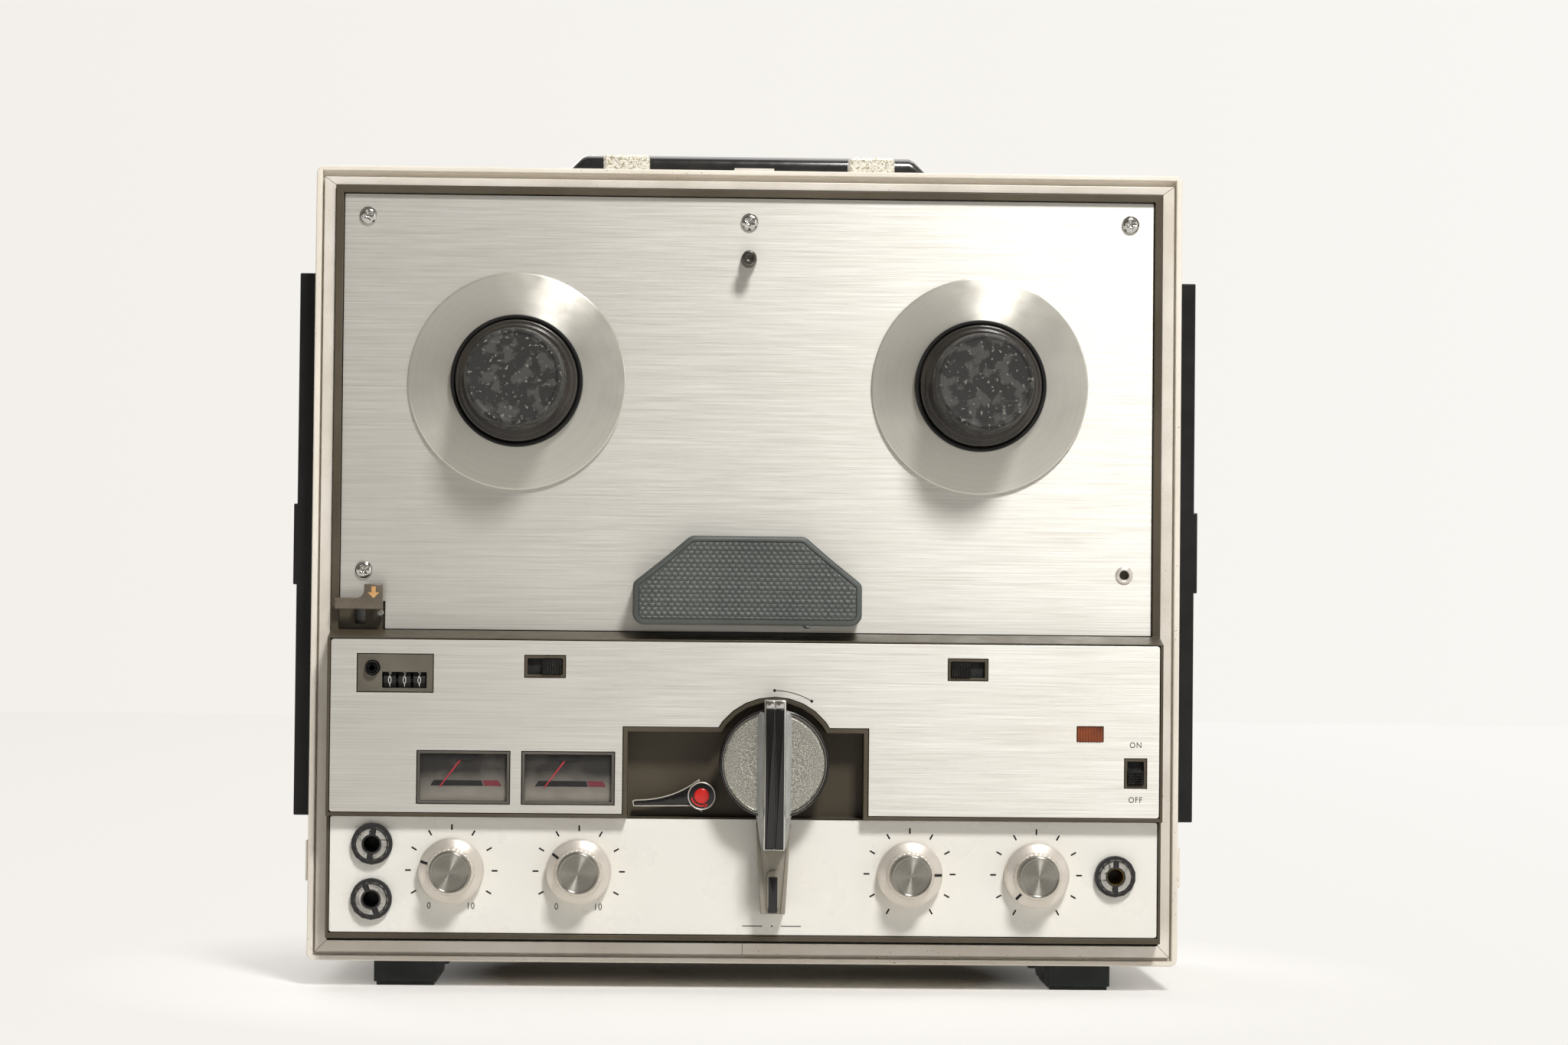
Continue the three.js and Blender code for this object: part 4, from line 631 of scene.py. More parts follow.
def reel(word):
    """One reel seat: the spun disc, the black collar, the stepped hub with its spindle, and the cap."""
    body, disc_node = word + "_reel", word + "_reel_disc"
    x, z = spot(disc_node)
    disc = [(5.3, 0.7), (42.4, 0.7), (42.8, 0.3), (42.8, -0.6), (42.3, -0.8), (28, -0.8), (5.3, -0.8)]
    turned(word + "_disc", disc, x, z, disc_aluminium, body, [disc_node], "spun_aluminium", 160, 0.15)
    collar = [(10, -1.1), (26, -1.1), (26, -4.1), (24.6, -4.1), (24.2, -3.4), (10, -3.4)]
    turned(word + "_collar", collar, x, z, black_abs, body, slot="black_plastic", edge=0.4)
    hub = [
        (0, -26), (3.4, -26), (4, -25.2), (4, -15), (18, -15), (19.2, -14.2), (19.4, -8),
        (21.6, -8), (22, -7.6), (22, -6), (23.5, -6), (23.9, -5.6), (23.9, -3.5), (5, -3.5),
        (5, 24), (0, 24),
    ]
    turned(word + "_hub", hub, x, z, hub_abs, body, [word + "_reel_hub"], "bezel_plastic", edge=0.35)
    cap = [
        (0, -32.4), (16.6, -32.5), (16.9, -33), (17.9, -33.1), (18.5, -32.3), (18.9, -28),
        (19.3, -22), (20, -15.9), (19.7, -15.3), (4.3, -15.3), (4.3, -27.3), (0, -27.3),
    ]
    node = word + "_reel_cap"
    turned(word + "_cap_cover", cap, x, z, cap_rubber, word + "_cap", [node], "black_rubber", edge=0.5)


reel("left")
reel("right")

# Deck fittings


def pan_screw(name, x, z, face, turn, out=-1):
    """A cross-slot pan head, a polar grid of (r, t) of the height stand (1 - 0.55 (r / R)^4), less a slot.

    The slot is a cross of two bars whose edges fall off smoothly, deepest at the middle. The head faces
    out along Y, -1 to the front and 1 to the rear."""
    radius, stand, slot_depth = 3.4, 1.9, 1.1
    arm, half_width = radius * 0.52, radius * 0.13
    reach = np.concatenate([np.linspace(0, 0.985, 22), [1.0, 1.0]]) * radius
    way = np.linspace(0, 2 * math.pi, 96, endpoint=False)
    r, t = np.meshgrid(reach, way, indexing="ij")
    x_in, z_in = r * np.cos(t - turn), r * np.sin(t - turn)
    height = stand * (1 - 0.55 * (r / radius) ** 4)
    bars = [1 / (1 + (a / half_width) ** 8) / (1 + (b / arm) ** 10) for a, b in ((x_in, z_in), (z_in, x_in))]
    height -= np.maximum(*bars) * slot_depth * np.clip(1.15 - r / radius, 0, 1)
    height[-1] = 0.0
    points = np.stack([x + r * np.cos(t), face + out * height, z + r * np.sin(t)], axis=-1).reshape(-1, 3)
    count = len(way)
    faces = grid_faces(len(reach), count, wrap=True).tolist()
    faces.append(list(range(len(points) - count, len(points))))
    piece(name, (points, faces), chrome, smooth=35)


def deck_fittings():
    """The deck plate's four screws, the bush of the lid's screw, and the post for the capstan sleeve."""
    low, high = corners("deck_plate")
    left, right, upper, face = low[0] + 9.3, high[0] - 9.3, high[2] - 8.6, low[1]
    pan_screw("upper_left_screw", left, upper, face, 0.3)
    pan_screw("upper_middle_screw", -0.3, upper - 0.8, face, 1.1)
    pan_screw("upper_right_screw", right, upper, face, 0.1)
    pan_screw("lower_left_screw", left, low[2] + 23.1, face, 0.6)
    bush = [(1.9, 3), (1.9, 0.2), (2.5, 0.1), (3.3, 0.4), (3.5, 1), (3.5, 3)]
    at = right - 1.5, low[2] + 23.9
    turned("lid_screw_bush", bush, *at, knob_aluminium, "recorder", (), "spun_aluminium", 48, 0.2)
    post = [
        (0, -10.6), (1.3, -10.6), (1.4, -11), (2.3, -11), (2.8, -10.4), (2.8, -6.8), (2.2, -6.4),
        (2.2, -3.6), (3, -3.2), (3.2, 0), (3.2, 1), (0, 1),
    ]
    turned("sleeve_post", post, -0.5, high[2] - 24.4, dark_steel, "recorder", (), "steel", 48, 0.25)


deck_fittings()


def head_cover():
    """The cover over the heads: a moulded box whose face is woven in relief inside a raised border.

    The weave is a field of pillows, 0.62 |cos(pi x / 2.5)|^0.7 |sin(pi z / 1.7)|^0.7, with every other row
    moved half a pitch, faded out within 0.8 mm of the border."""
    rows, columns = 132, 260
    wide_pitch, high_pitch, power, relief, fade = 2.5, 1.7, 0.7, 0.62, 0.8
    low, high = corners("head_cover")
    wide, base, top, front = high[0], low[2], high[2], low[1]
    half = [(wide - 2.8, base), (wide, base + 2.8), (wide, base + 16.3), (wide - 12.6, top - 8.4)]
    half.append((wide - 22.4, top))
    mirrored = [(-x, z) for x, z in half]
    outline = eased_loop(mirrored[:1] + half + mirrored[:0:-1], 1.6, steps=3)
    shell = stepped(outline, [(0, 0.6)] + rounded(1.4, front) + [(2.0, front), (2.3, front + 0.7)])

    field = inset_loop(outline, 2.2)
    heights = np.linspace(field[:, 1].min(), field[:, 1].max(), rows)
    edge = np.vstack([field, field[:1]])
    right = edge[edge[:, 0] > 0]
    right = right[np.argsort(right[:, 1])]
    reach = np.interp(heights, right[:, 1], right[:, 0])
    x = np.linspace(-1, 1, columns)[None, :] * reach[:, None]
    z = heights[:, None] + 0 * x
    start, end = edge[:-1], edge[1:]
    line = end - start
    ahead = line / np.maximum(np.linalg.norm(line, axis=1, keepdims=True), TINY)
    to_point = np.stack([x, z], axis=-1)[:, :, None, :] - start
    within = ahead[:, 0] * to_point[..., 1] - ahead[:, 1] * to_point[..., 0]
    clear = np.clip(within.min(axis=2) / fade, 0, 1)
    row = np.floor(z / high_pitch)
    across = np.abs(np.cos(np.pi * (x / wide_pitch + 0.5 * (row % 2)))) ** power
    along = np.abs(np.sin(np.pi * z / high_pitch)) ** power
    height = relief * across * along * clear
    face = np.stack([x, front + 0.58 - height, z], axis=-1).reshape(-1, 3)
    back = np.stack([x, np.full_like(x, front + 1.0), z], axis=-1).reshape(-1, 3)
    quads = grid_faces(rows, columns)
    count = rows * columns
    index = np.arange(count).reshape(rows, columns)
    rim = np.concatenate([index[0], index[1:, -1], index[-1, -2::-1], index[-2:0:-1, 0]])
    wall = np.stack([rim, np.roll(rim, -1), np.roll(rim, -1) + count, rim + count], axis=1)
    weave = np.vstack([face, back]), np.vstack([quads, quads[:, ::-1] + count, wall[:, ::-1]])
    cover = gathered([shell, weave])
    piece("head_cover_shell", cover, cover_abs, "recorder", ["head_cover"])


head_cover()


def arrow_loop(x, z, size):
    """A plain arrow that points down, centred on a place."""
    half, stem = size / 2, size / 5.5
    right = [(half, 0), (stem, 0), (stem, half)]
    return np.array([(0, -half)] + right + [(-a, b) for a, b in right[::-1]]) + (x, z)


def pause_lever():
    """The pause lever: a flat bar with an upright tab and a hollow corner between them, on a stem."""
    low, high = corners("pause_lever")
    left, right, base, top = low[0], high[0], low[2], high[2]
    hollow = arc(left + 8.4, top - 2.4, 3.0, np.radians(np.linspace(0, -90, 8)))
    bar = [(left, base), (right, base), (right, top), (right - 7.3, top)]
    face = slab(np.vstack([bar, hollow, [(left, base + 4.4)]]), low[1], low[1] + 2.0, edge=0.45)
    stem = slab(box_loop(left + 7.7, left + 10.7, base + 0.3, base + 2.9), low[1] + 1.0, high[1], edge=0.1)
    piece("pause_bar", gathered([face, stem]), pause_abs, "pause", ["pause_lever"])
    arrow = slab(arrow_loop(right - 3.6, top - 3.2, 4.6), low[1] - 0.06, low[1] + 0.1, edge=0.02)
    piece("pause_arrow", arrow, gold_foil, "pause")
    pin = [(0, -3.6), (1, -3.6), (1.2, -3.3), (1.2, 1.2), (0, 1.2)]
    turned("pause_pin", pin, right - 1.1, base - 1.4, steel, "pause", slot="steel", steps=32, edge=0.15)


pause_lever()

# Printing

# How far ink stands out of its face, and how far back it reaches
PROUD = 0.04
DEEP = 0.02


def lettering(words, x, z, face, height, spread=1.0):
    """The flat shape of figures of a cap height, centred on a place and standing PROUD of a face."""
    size_per_height = 1.4
    curve = bpy.data.curves.new("figures", "FONT")
    curve.body = words
    curve.align_x = "CENTER"
    curve.size = height * size_per_height
    curve.space_character = 1.15
    curve.resolution_u = 4
    holder = bpy.data.objects.new("figures", curve)
    bpy.context.scene.collection.objects.link(holder)
    bpy.context.view_layer.update()
    flat = bpy.data.meshes.new_from_object(holder)
    bpy.data.objects.remove(holder)
    places = np.array([corner.co for corner in flat.vertices])
    faces = [list(polygon.vertices) for polygon in flat.polygons]
    bpy.data.meshes.remove(flat)
    across, up = x + places[:, 0] * spread, z + places[:, 1] - height / 2
    return np.stack([across, np.full(len(places), face - PROUD), up], axis=1), faces


def sheet(shape, thickness):
    """A flat shape of (points, faces) given a back, and walls along its open edges."""
    points, faces = shape
    count = len(points)
    edges = [edge for face in faces for edge in zip(face, face[1:] + face[:1])]
    known = set(edges)
    walls = [[b, a, a + count, b + count] for a, b in edges if (b, a) not in known]
    back = points + (0.0, thickness, 0.0)
    return np.vstack([points, back]), faces + [[i + count for i in face[::-1]] for face in faces] + walls


def printed(name, words, x, z, face, height, spread):
    """Black figures on a face."""
    shape = sheet(lettering(words, x, z, face, height, spread), PROUD + DEEP)
    piece(name, shape, black_ink, smooth=0)


def ink_patch(loop, face):
    """A patch of ink on a face, inside a line of (x, z)."""
    return slab(loop, face - PROUD, face + DEEP, edge=0.01)


# Counter, switches, meters and pilot lens


def counter():
    """The figures 0 to 9 round each of the counter's three wheels, and its knurled reset button."""
    radius, proud, thick = 4.6, 0.14, 0.05
    for word in ("hundreds", "tens", "units"):
        centre, axis_y, axis_z = middle("counter_wheel_" + word)
        figures = []
        for figure in range(10):
            points, faces = sheet(lettering(str(figure), 0, 0, 0, 3.0, 0.7), thick)
            turn = points[:, 2] / radius - figure * math.radians(36)
            out = radius + proud - points[:, 1]
            bent = [centre + points[:, 0], axis_y - out * np.cos(turn), axis_z + out * np.sin(turn)]
            figures.append((np.stack(bent, axis=1), faces))
        piece(word + "_figures", gathered(figures), white_ink, "counter_" + word, smooth=0)
    node = "counter_reset_button"
    x, z = spot(node)
    front, back = [corner[1] for corner in corners(node)]
    teeth = 24
    turn = around(teeth * 4)
    loop = arc(x, z, 2.62 + 0.08 * np.sign(np.sin(turn * teeth)), turn)
    steps = [(0, back), (0, front + 0.3), (0.3, front), (1.0, front), (1.15, front + 0.08)]
    piece("reset_button", stepped(loop, steps), black_abs, "counter_reset", [node])


def ribbed_slider(word, along, ribs):
    """A slide switch's button: a block whose face is cut into ridges, y = front + 0.9 |cos(n pi u)|^1.2.

    The ridges follow each other along an axis, 0 for X and 2 for Z."""
    node, side = word + "_switch_slider", 2 - along
    low, high = corners(node)
    near, far, front, back = low[along], high[along], low[1], high[1] - 0.3
    u = np.linspace(0, 1, ribs * 8 + 1)
    face = front + 0.9 * np.abs(np.cos(ribs * math.pi * u)) ** 1.2
    ridges = np.stack([near + 0.3 + (far - near - 0.6) * u, face], 1)
    line = np.vstack([[[near, back], [near, front + 0.4]], ridges, [[far, front + 0.4], [far, back]]])
    loops = []
    for edge in (low[side], high[side]):
        loop = np.full((len(line), 3), edge)
        loop[:, along], loop[:, 1] = line.T
        loops.append(loop)
    name, body = word + "_slider_button", word + "_slider"
    piece(name, loft(loops), slider_abs, body, [node], smooth=30)


# Each slide switch: the axis that it slides along, how far, and the number of ridges on its button
SWITCHES = (("track", 0, -5.65, 7), ("speed", 0, 5.3, 7), ("speaker", 2, 3.4, 5))


def switch_liners():
    """The dark linings of the three switch pockets: a thin floor behind each button's travel."""
    room, floor, thick = 0.25, -11.05, 0.1
    floors = []
    for word, axis, travel, _ in SWITCHES:
        low, high = corners(word + "_switch_slider")
        low[axis] += min(travel, 0)
        high[axis] += max(travel, 0)
        loop = box_loop(low[0] - room, high[0] + room, low[2] - room, high[2] + room)
        floors.append(slab(loop, floor - thick, floor + thick / 4, 0.02))
    piece("switch_pocket_floors", gathered(floors), wheel_abs, smooth=0)


counter()
switch_liners()
for word, axis, _, ribs in SWITCHES:
    ribbed_slider(word, axis, ribs)


# How wide each level meter is behind its window
METER_WIDTH = 36.45


def meter(word, left, bottom, top):
    """A level meter: its face, the scale bar with a crimson end, the half-round hub, needle and window."""
    right = left + METER_WIDTH
    centre, low_bar, high_bar = (left + right) / 2, bottom + 7.1, bottom + 9.3

    def pane(margin):
        return box_loop(left + margin, right - margin, bottom + margin, top - margin)

    def bar(low_ends, high_ends):
        line = [(x, low_bar) for x in low_ends] + [(x, high_bar) for x in high_ends[::-1]]
        return slab(np.array(line) + (left, 0), -11.32, -11.2, edge=0.02)

    face = slab(pane(1.35), -11.25, -11.1, edge=0.03)
    piece(word + "_meter_face", face, meter_card_painted_shade)
    piece(word + "_scale_bar", bar((5.3, 26), (6.7, 25.2)), black_ink)
    tip = bar((26.4, 33), (25.6, 31.8))
    piece(word + "_scale_end", tip, crimson_print)
    turn = np.linspace(math.pi, 2 * math.pi, 24)
    bow = np.stack([centre + 5.0 * np.cos(turn), top - 1.4 + 2.6 * np.sin(turn)], axis=1)
    hub = slab(bow, -12.3, -12.05, edge=0.1)
    piece(word + "_meter_hub", hub, black_abs)
    aim, side = aimed(math.radians(-90 - 37))
    pivot, tip = np.array([centre, top - 2.0]), 15.5 * aim
    line = pivot + [side * 0.35, -side * 0.35, tip - side * 0.25, tip + side * 0.25]
    shapes = [slab(line, -11.85, -11.6, edge=0.05)]
    shapes.append(slab(ring_loop(*pivot, 0.8, 24), -11.95, -11.5, edge=0.1))
    node = word + "_meter_needle"
    piece(word + "_pointer", gathered(shapes), needle_red, word + "_needle", [node])
    glass = slab(pane(1.3), -12.8, -12.5, edge=0.1)
    piece(word + "_meter_window", glass, clear_acrylic)


low, high = [corner[[0, 2]] for corner in corners("level_meters")]
frame_width = 0.3
heights = low[1] - frame_width, high[1] + frame_width
meter("left", low[0] - frame_width, *heights)
meter("right", high[0] + frame_width - METER_WIDTH, *heights)


def pilot():
    """The pilot lens: an amber block whose face carries upright ribs, y = front + 0.35 |sin(n pi u)|."""
    low, high = corners("pilot_lens")
    ribs = 9
    u = np.linspace(0, 1, ribs * 8 + 1)
    face = low[1] + 0.35 * np.abs(np.sin(ribs * math.pi * u))
    ridges = np.stack([low[0] + (high[0] - low[0]) * u, face], 1)
    line = np.vstack([[[low[0], high[1]]], ridges, [[high[0], high[1]]]])
    loops = [np.column_stack([line, np.full(len(line), z)]) for z in (low[2], high[2])]
    piece("pilot_window", loft(loops), amber_acrylic, "recorder", ["pilot_lens"], smooth=30)


pilot()

# Function knob, fast-wind lever and record lever

KNOB_X = middle("function_knob")[0]
KNOB_Z = corners("function_knob")[1][2] - 24.8


def function_knob():
    """The function knob: a black skirt, a nickel ring, a silver face, a ridge across it and a long bar.

    The bar is a chromed frame with two black inlays, each ending in a bright block at the top."""
    skirt = [
        (0, -22.4), (19.6, -22.4), (20.2, -22.6), (20.4, -23.9), (20.9, -24), (21.2, -23.4),
        (21.4, -20), (21.5, -13.4), (21, -13), (4, -13), (4, 12), (0, 12),
    ]
    node, at = "function_knob", (KNOB_X, KNOB_Z)
    turned("function_skirt", skirt, *at, gloss_black, "function", [node], "black_plastic", 128, 0.3)
    ring = [(19.9, -22), (20, -23.6), (20.15, -23.8), (20.3, -23.6), (20.35, -22)]
    turned("function_ring", ring, *at, nickel, "function", (), "chrome", 128, 0.1)
    face = [(0, -23.2), (18.6, -22.9), (19.7, -22.5), (19.7, -21.5), (0, -21.5), (0, -23.2)]
    turned("function_face", face, *at, sparkle_lacquer, "function", (), "grey_plastic", 128, 0.3)

    # The ridge from the top down: place, half widths at foot and crown, depths of crown and foot
    rounds = []
    for up, foot, crown, top, low in (
        (20.1, 6.4, 4.3, -29.0, -22.0), (19.5, 6.8, 4.5, -29.8, -22.0), (10.7, 7.0, 4.5, -29.8, -22.0),
        (-9.3, 7.0, 4.5, -29.8, -22.0), (-20.1, 6.9, 4.5, -29.8, -22.0), (-21.1, 6.6, 4.4, -29.8, -21.0),
        (-31.3, 5.2, 4.2, -29.4, -20.4), (-32.7, 4.9, 4.0, -28.6, -20.4),
    ):
        side = [(foot, low), (foot - 0.5, low - 1.4), (crown, top + 0.6), (crown - 0.6, top)]
        line = [(-across, y) for across, y in side] + side[::-1]
        rounds.append([(KNOB_X + across, y, KNOB_Z + up) for across, y in line])
    piece("function_ridge", loft(rounds), knob_lacquer, "function", smooth=30)

    (_, _, bottom), (_, _, top) = corners(node)
    frame_loop = box_loop(KNOB_X - 4.12, KNOB_X + 4.12, bottom, top, 0.7)
    hollow = box_loop(KNOB_X - 3.75, KNOB_X + 3.75, bottom + 0.5, top - 0.4, 0.4)
    rounds = [at_depth(frame_loop, -23.0), at_depth(frame_loop, -31.2)]
    rounds += [at_depth(inset_loop(frame_loop, 0.3), -31.8), at_depth(inset_loop(frame_loop, 0.55), -31.9)]
    rounds += [at_depth(hollow, -31.8), at_depth(hollow, -31.0)]
    piece("function_bar_frame", loft(rounds), chrome, "function", smooth=35)
    inlays, ends = [], []
    for centre in (KNOB_X - 1.85, KNOB_X + 1.85):
        loop = box_loop(centre - 1.83, centre + 1.83, bottom + 0.6, top - 3.3, 0.4)
        inlays.append(slab(loop, -31.85, -23.4, edge=0.6))
        loop = box_loop(centre - 1.75, centre + 1.75, top - 3.1, top - 0.1, 0.5)
        ends.append(slab(loop, -31.98, -29.0, edge=0.5))
    piece("function_bar_inlay", gathered(inlays), gloss_black, "function", smooth=35)
    piece("function_bar_ends", gathered(ends), chrome, "function", smooth=35)


def fast_wind_lever():
    """The fast-wind lever: a hub behind the knob and an arm between two raised rails, with a black inlay."""
    hub = [(4.3, -12.7), (16.5, -12.7), (17, -12.2), (17, -8.7), (8, -8.7), (8, -2.3), (4.3, -2.3)]
    tip, x = corners("fast_wind_lever")[0][2], KNOB_X

    def beside(*line):
        return [(x + across, tip + up) for across, up in line]

    def between(half_width, low, high, corner=0.0):
        return box_loop(x - half_width, x + half_width, tip + low, tip + high, corner)

    arm = eased_loop(beside((-4.8, 0), (4.8, 0), (6.8, 35.1), (-6.8, 35.1)), 0.8)
    shapes = [
        lathe(eased(hub + hub[:1], 0.3, 3), x, KNOB_Z, 96),
        slab(between(6.5, 34.1, 46.1), -12.6, -9.2, edge=0.2),
        slab(between(6.6, 33.6, 36.5), -12.6, -10.6, edge=0.1),
        slab(arm, -18.6, -10.5, edge=0.5),
    ]
    hump = beside((-2.4, 2.1), (2.4, 2.1), (2.5, 15.5), (1.6, 17.1), (-1.6, 17.1), (-2.5, 15.5))
    shapes.append(slab(eased_loop(hump, 0.8), -19.7, -18.2, edge=0.6))
    rail = ((4.7, 0), (6.7, 34.7), (5.7, 34.7), (3.1, 2.1), (2.9, 0.7), (2.9, 0))
    for side in (-1, 1):
        shapes.append(slab(beside(*((side * across, up) for across, up in rail)), -19.5, -18.0, edge=0.35))
    lever = gathered(shapes)
    piece("fast_wind_arm", lever, lever_abs, "fast_wind", ["fast_wind_lever"], smooth=35)
    inlay = slab(between(1.75, 0.5, 14.5, 0.4), -19.95, -18.4, edge=0.3)
    piece("fast_wind_inlay", inlay, gloss_black, "fast_wind")


def record_lever():
    """The record lever: a hub with a bright ring and a red button, and a tapering arm edged in grey."""
    x, z = corners("record_lever")[0][0] + 26.1, middle("record_lever")[2]
    hub = [(0, -10.2), (5.2, -10.2), (5.6, -9.8), (5.6, -2.3), (2, -2.3), (2, 5), (0, 5)]
    u = np.linspace(0, 1, 14)
    upper = np.stack([-1.5 - 24.4 * u, 5.3 - 7.1 * (1 - (1 - u) ** 2.4) - 0.6 * u], axis=1)
    lower = np.stack([-26.1 + 22.6 * u, -3.7 + 0.3 * u], axis=1)
    outline = np.vstack([upper, [[-26.3, -2.6]], lower, [[-0.5, -5.1]]]) + (x, z)
    body = gathered([lathe(eased(hub, 0.25, 3), x, z, 72), slab(outline, -9.0, -5.0, edge=0.4)])
    piece("record_arm", body, gloss_black, "record", ["record_lever"], smooth=35)
    edges = [at_depth(inset_loop(outline[::-1], inset), -9.05) for inset in (0.25, 0.7)]
    edge_line = sheet((np.vstack(edges), grid_faces(2, len(outline), wrap=True).tolist()), 0.05)
    piece("record_edge_line", edge_line, edge_ink, "record", smooth=0)
    ring = [(4.95, -10), (5, -10.5), (5.2, -10.65), (5.4, -10.5), (5.5, -9.8)]
    turned("record_ring", ring, x, z, knob_aluminium, "record", (), "chrome", 72, 0.1)
    button = [(0, -11), (2.5, -10.95), (2.95, -10.7), (3.05, -10.1), (0, -10.1)]
    turned("record_button", button, x, z, red_paint, "record", (), "red_paint", 48, 0.2)
    turn = np.radians(np.linspace(190, 292, 20))
    bow = np.vstack([arc(x, z, 4.2, turn), arc(x, z, 3.6, turn[::-1])])
    tip = np.array([(1.3, -4.7), (2.7, -3.2), (0.8, -3)]) + (x, z)
    arrow = gathered([slab(loop, -10.27, -10.15, edge=0.02) for loop in (bow, tip)])
    piece("record_arrow", arrow, red_paint, "record", smooth=0)


function_knob()
fast_wind_lever()
record_lever()

# Lower plate: knobs, jacks and printed marks

LOWER_FACE = corners("lower_plate")[0][1]
CONTROL_FACE = corners("control_plate")[0][1]


def lower_knob(word, aim):
    """A turned knob: a tapered flange, a ring cut into facets, a flat cap and a dark pointer line.

    The facets are a wave in the radius, r = r0 + 0.2 |sin(n t / 2)|, on the ring alone."""
    node = word + "_knob"
    at = x, z = spot(node)
    base = [
        (0, -15), (9.4, -15), (11.9, -14.2), (12.6, -13.6), (12.7, -12.8), (12.7, -9.6), (12.3, -9.3),
        (3, -9.3), (3, -4.9), (0, -4.9),
    ]
    turned(word + "_flange", base, x, z, knob_aluminium, word, [node], "spun_aluminium", 128, 0.35)
    facets = 28
    turn = around(facets * 8)
    wave = 0.2 * np.abs(np.sin(turn * facets / 2))
    rounds = []
    line = (9.3, -14.6, 0.4), (9.3, -15.3, 1), (8.7, -17.2, 1), (8.35, -17.6, 0.2), (7.0, -17.7, 0)
    for radius, y, share in line:
        rounds.append(at_depth(arc(x, z, radius + wave * share, turn), y))
    ring = piece(word + "_facets", loft(rounds), knob_aluminium, word, smooth=25)
    polar_map(ring, x, z)
    cap = [
        (0, -22.8), (0.5, -22.81), (6.7, -22.93), (7.2, -22.95), (7.5, -23.2), (7.9, -22.9), (8.1, -20),
        (8.3, -17.4), (0, -17.4),
    ]
    turned(word + "_cap", cap, x, z, cap_aluminium, word, (), "spun_aluminium", 128, 0.2)
    out, side = aimed(math.radians(aim))
    rows = np.linspace(9.5, 12.35, 9)
    depth = np.interp(rows, *np.array([(9.4, -15), (11.9, -14.2), (12.6, -13.6)]).T) - 0.14
    points = []
    for half_width in (0.5, -0.5):
        edge = at + rows[:, None] * out + half_width * side
        points.append(np.stack([edge[:, 0], depth, edge[:, 1]], axis=1))
    pointer = sheet((np.vstack(points), grid_faces(2, len(rows)).tolist()), 0.12)
    piece(word + "_pointer_line", pointer, black_ink, word, smooth=0)


# Each knob: its name, where its line points at rest in degrees, and the first and last of its ticks
KNOBS = (
    ("left_volume", 162, -30, 210), ("right_volume", 145, -30, 210), ("left_tone", 0, -60, 240),
    ("right_tone", 228, -60, 240),
)


def jack(name, x, z, aim, bore_finish):
    """The front of a quarter-inch jack: a glossy black ring, a nickel nut with two slots, and the bore.

    The nut is a polar grid, (r, t), whose face drops 0.5 mm within 0.22 mm of its slots' line."""
    ring = [(5.8, -9.3), (8, -9.3), (8.1, -9.6), (7.9, -10.6), (7.3, -11.3), (6.7, -11.3), (6.4, -10.8)]
    ring.append((5.8, -10.6))
    turned(name + "_ring", ring, x, z, gloss_black, "recorder", (), "black_plastic", 96, 0.3)
    radii, depth = np.array([
        (3.45, -10), (3.45, -12.4), (3.6, -12.75), (3.9, -12.9), (4.6, -12.9), (5.3, -12.9), (5.9, -12.9),
        (6.25, -12.8), (6.5, -12.5), (6.6, -12.1), (6.6, -10),
    ]).T
    count = 480
    r, t = np.meshgrid(radii, around(count), indexing="ij")
    off = np.abs(r * np.sin(t - math.radians(aim)))
    cut = 0.5 / (1 + (off / 0.22) ** 8)
    face = np.minimum(depth[:, None] + cut, -10.0)
    points = np.stack([x + r * np.cos(t), face, z + r * np.sin(t)], axis=-1).reshape(-1, 3)
    faces = grid_faces(len(radii), count, wrap=True).tolist()
    last = (len(radii) - 1) * count
    faces += [[i, (i + 1) % count, (i + 1) % count + last, i + last] for i in range(count)]
    piece(name + "_nut", (points, faces), nickel, smooth=30)
    sleeve = [(2.95, 5), (3.4, 5), (3.4, -12.2), (3.2, -12.5), (2.95, -12.2)]
    turned(name + "_sleeve", sleeve, x, z, bore_finish, "recorder", (), "brass", 64, 0.1)
    well = [(0, 6), (3.4, 6), (3.4, 5), (0, 5), (0, 6)]
    turned(name + "_bottom", well, x, z, black_abs, "recorder", (), "black_plastic", 32, 0.05)


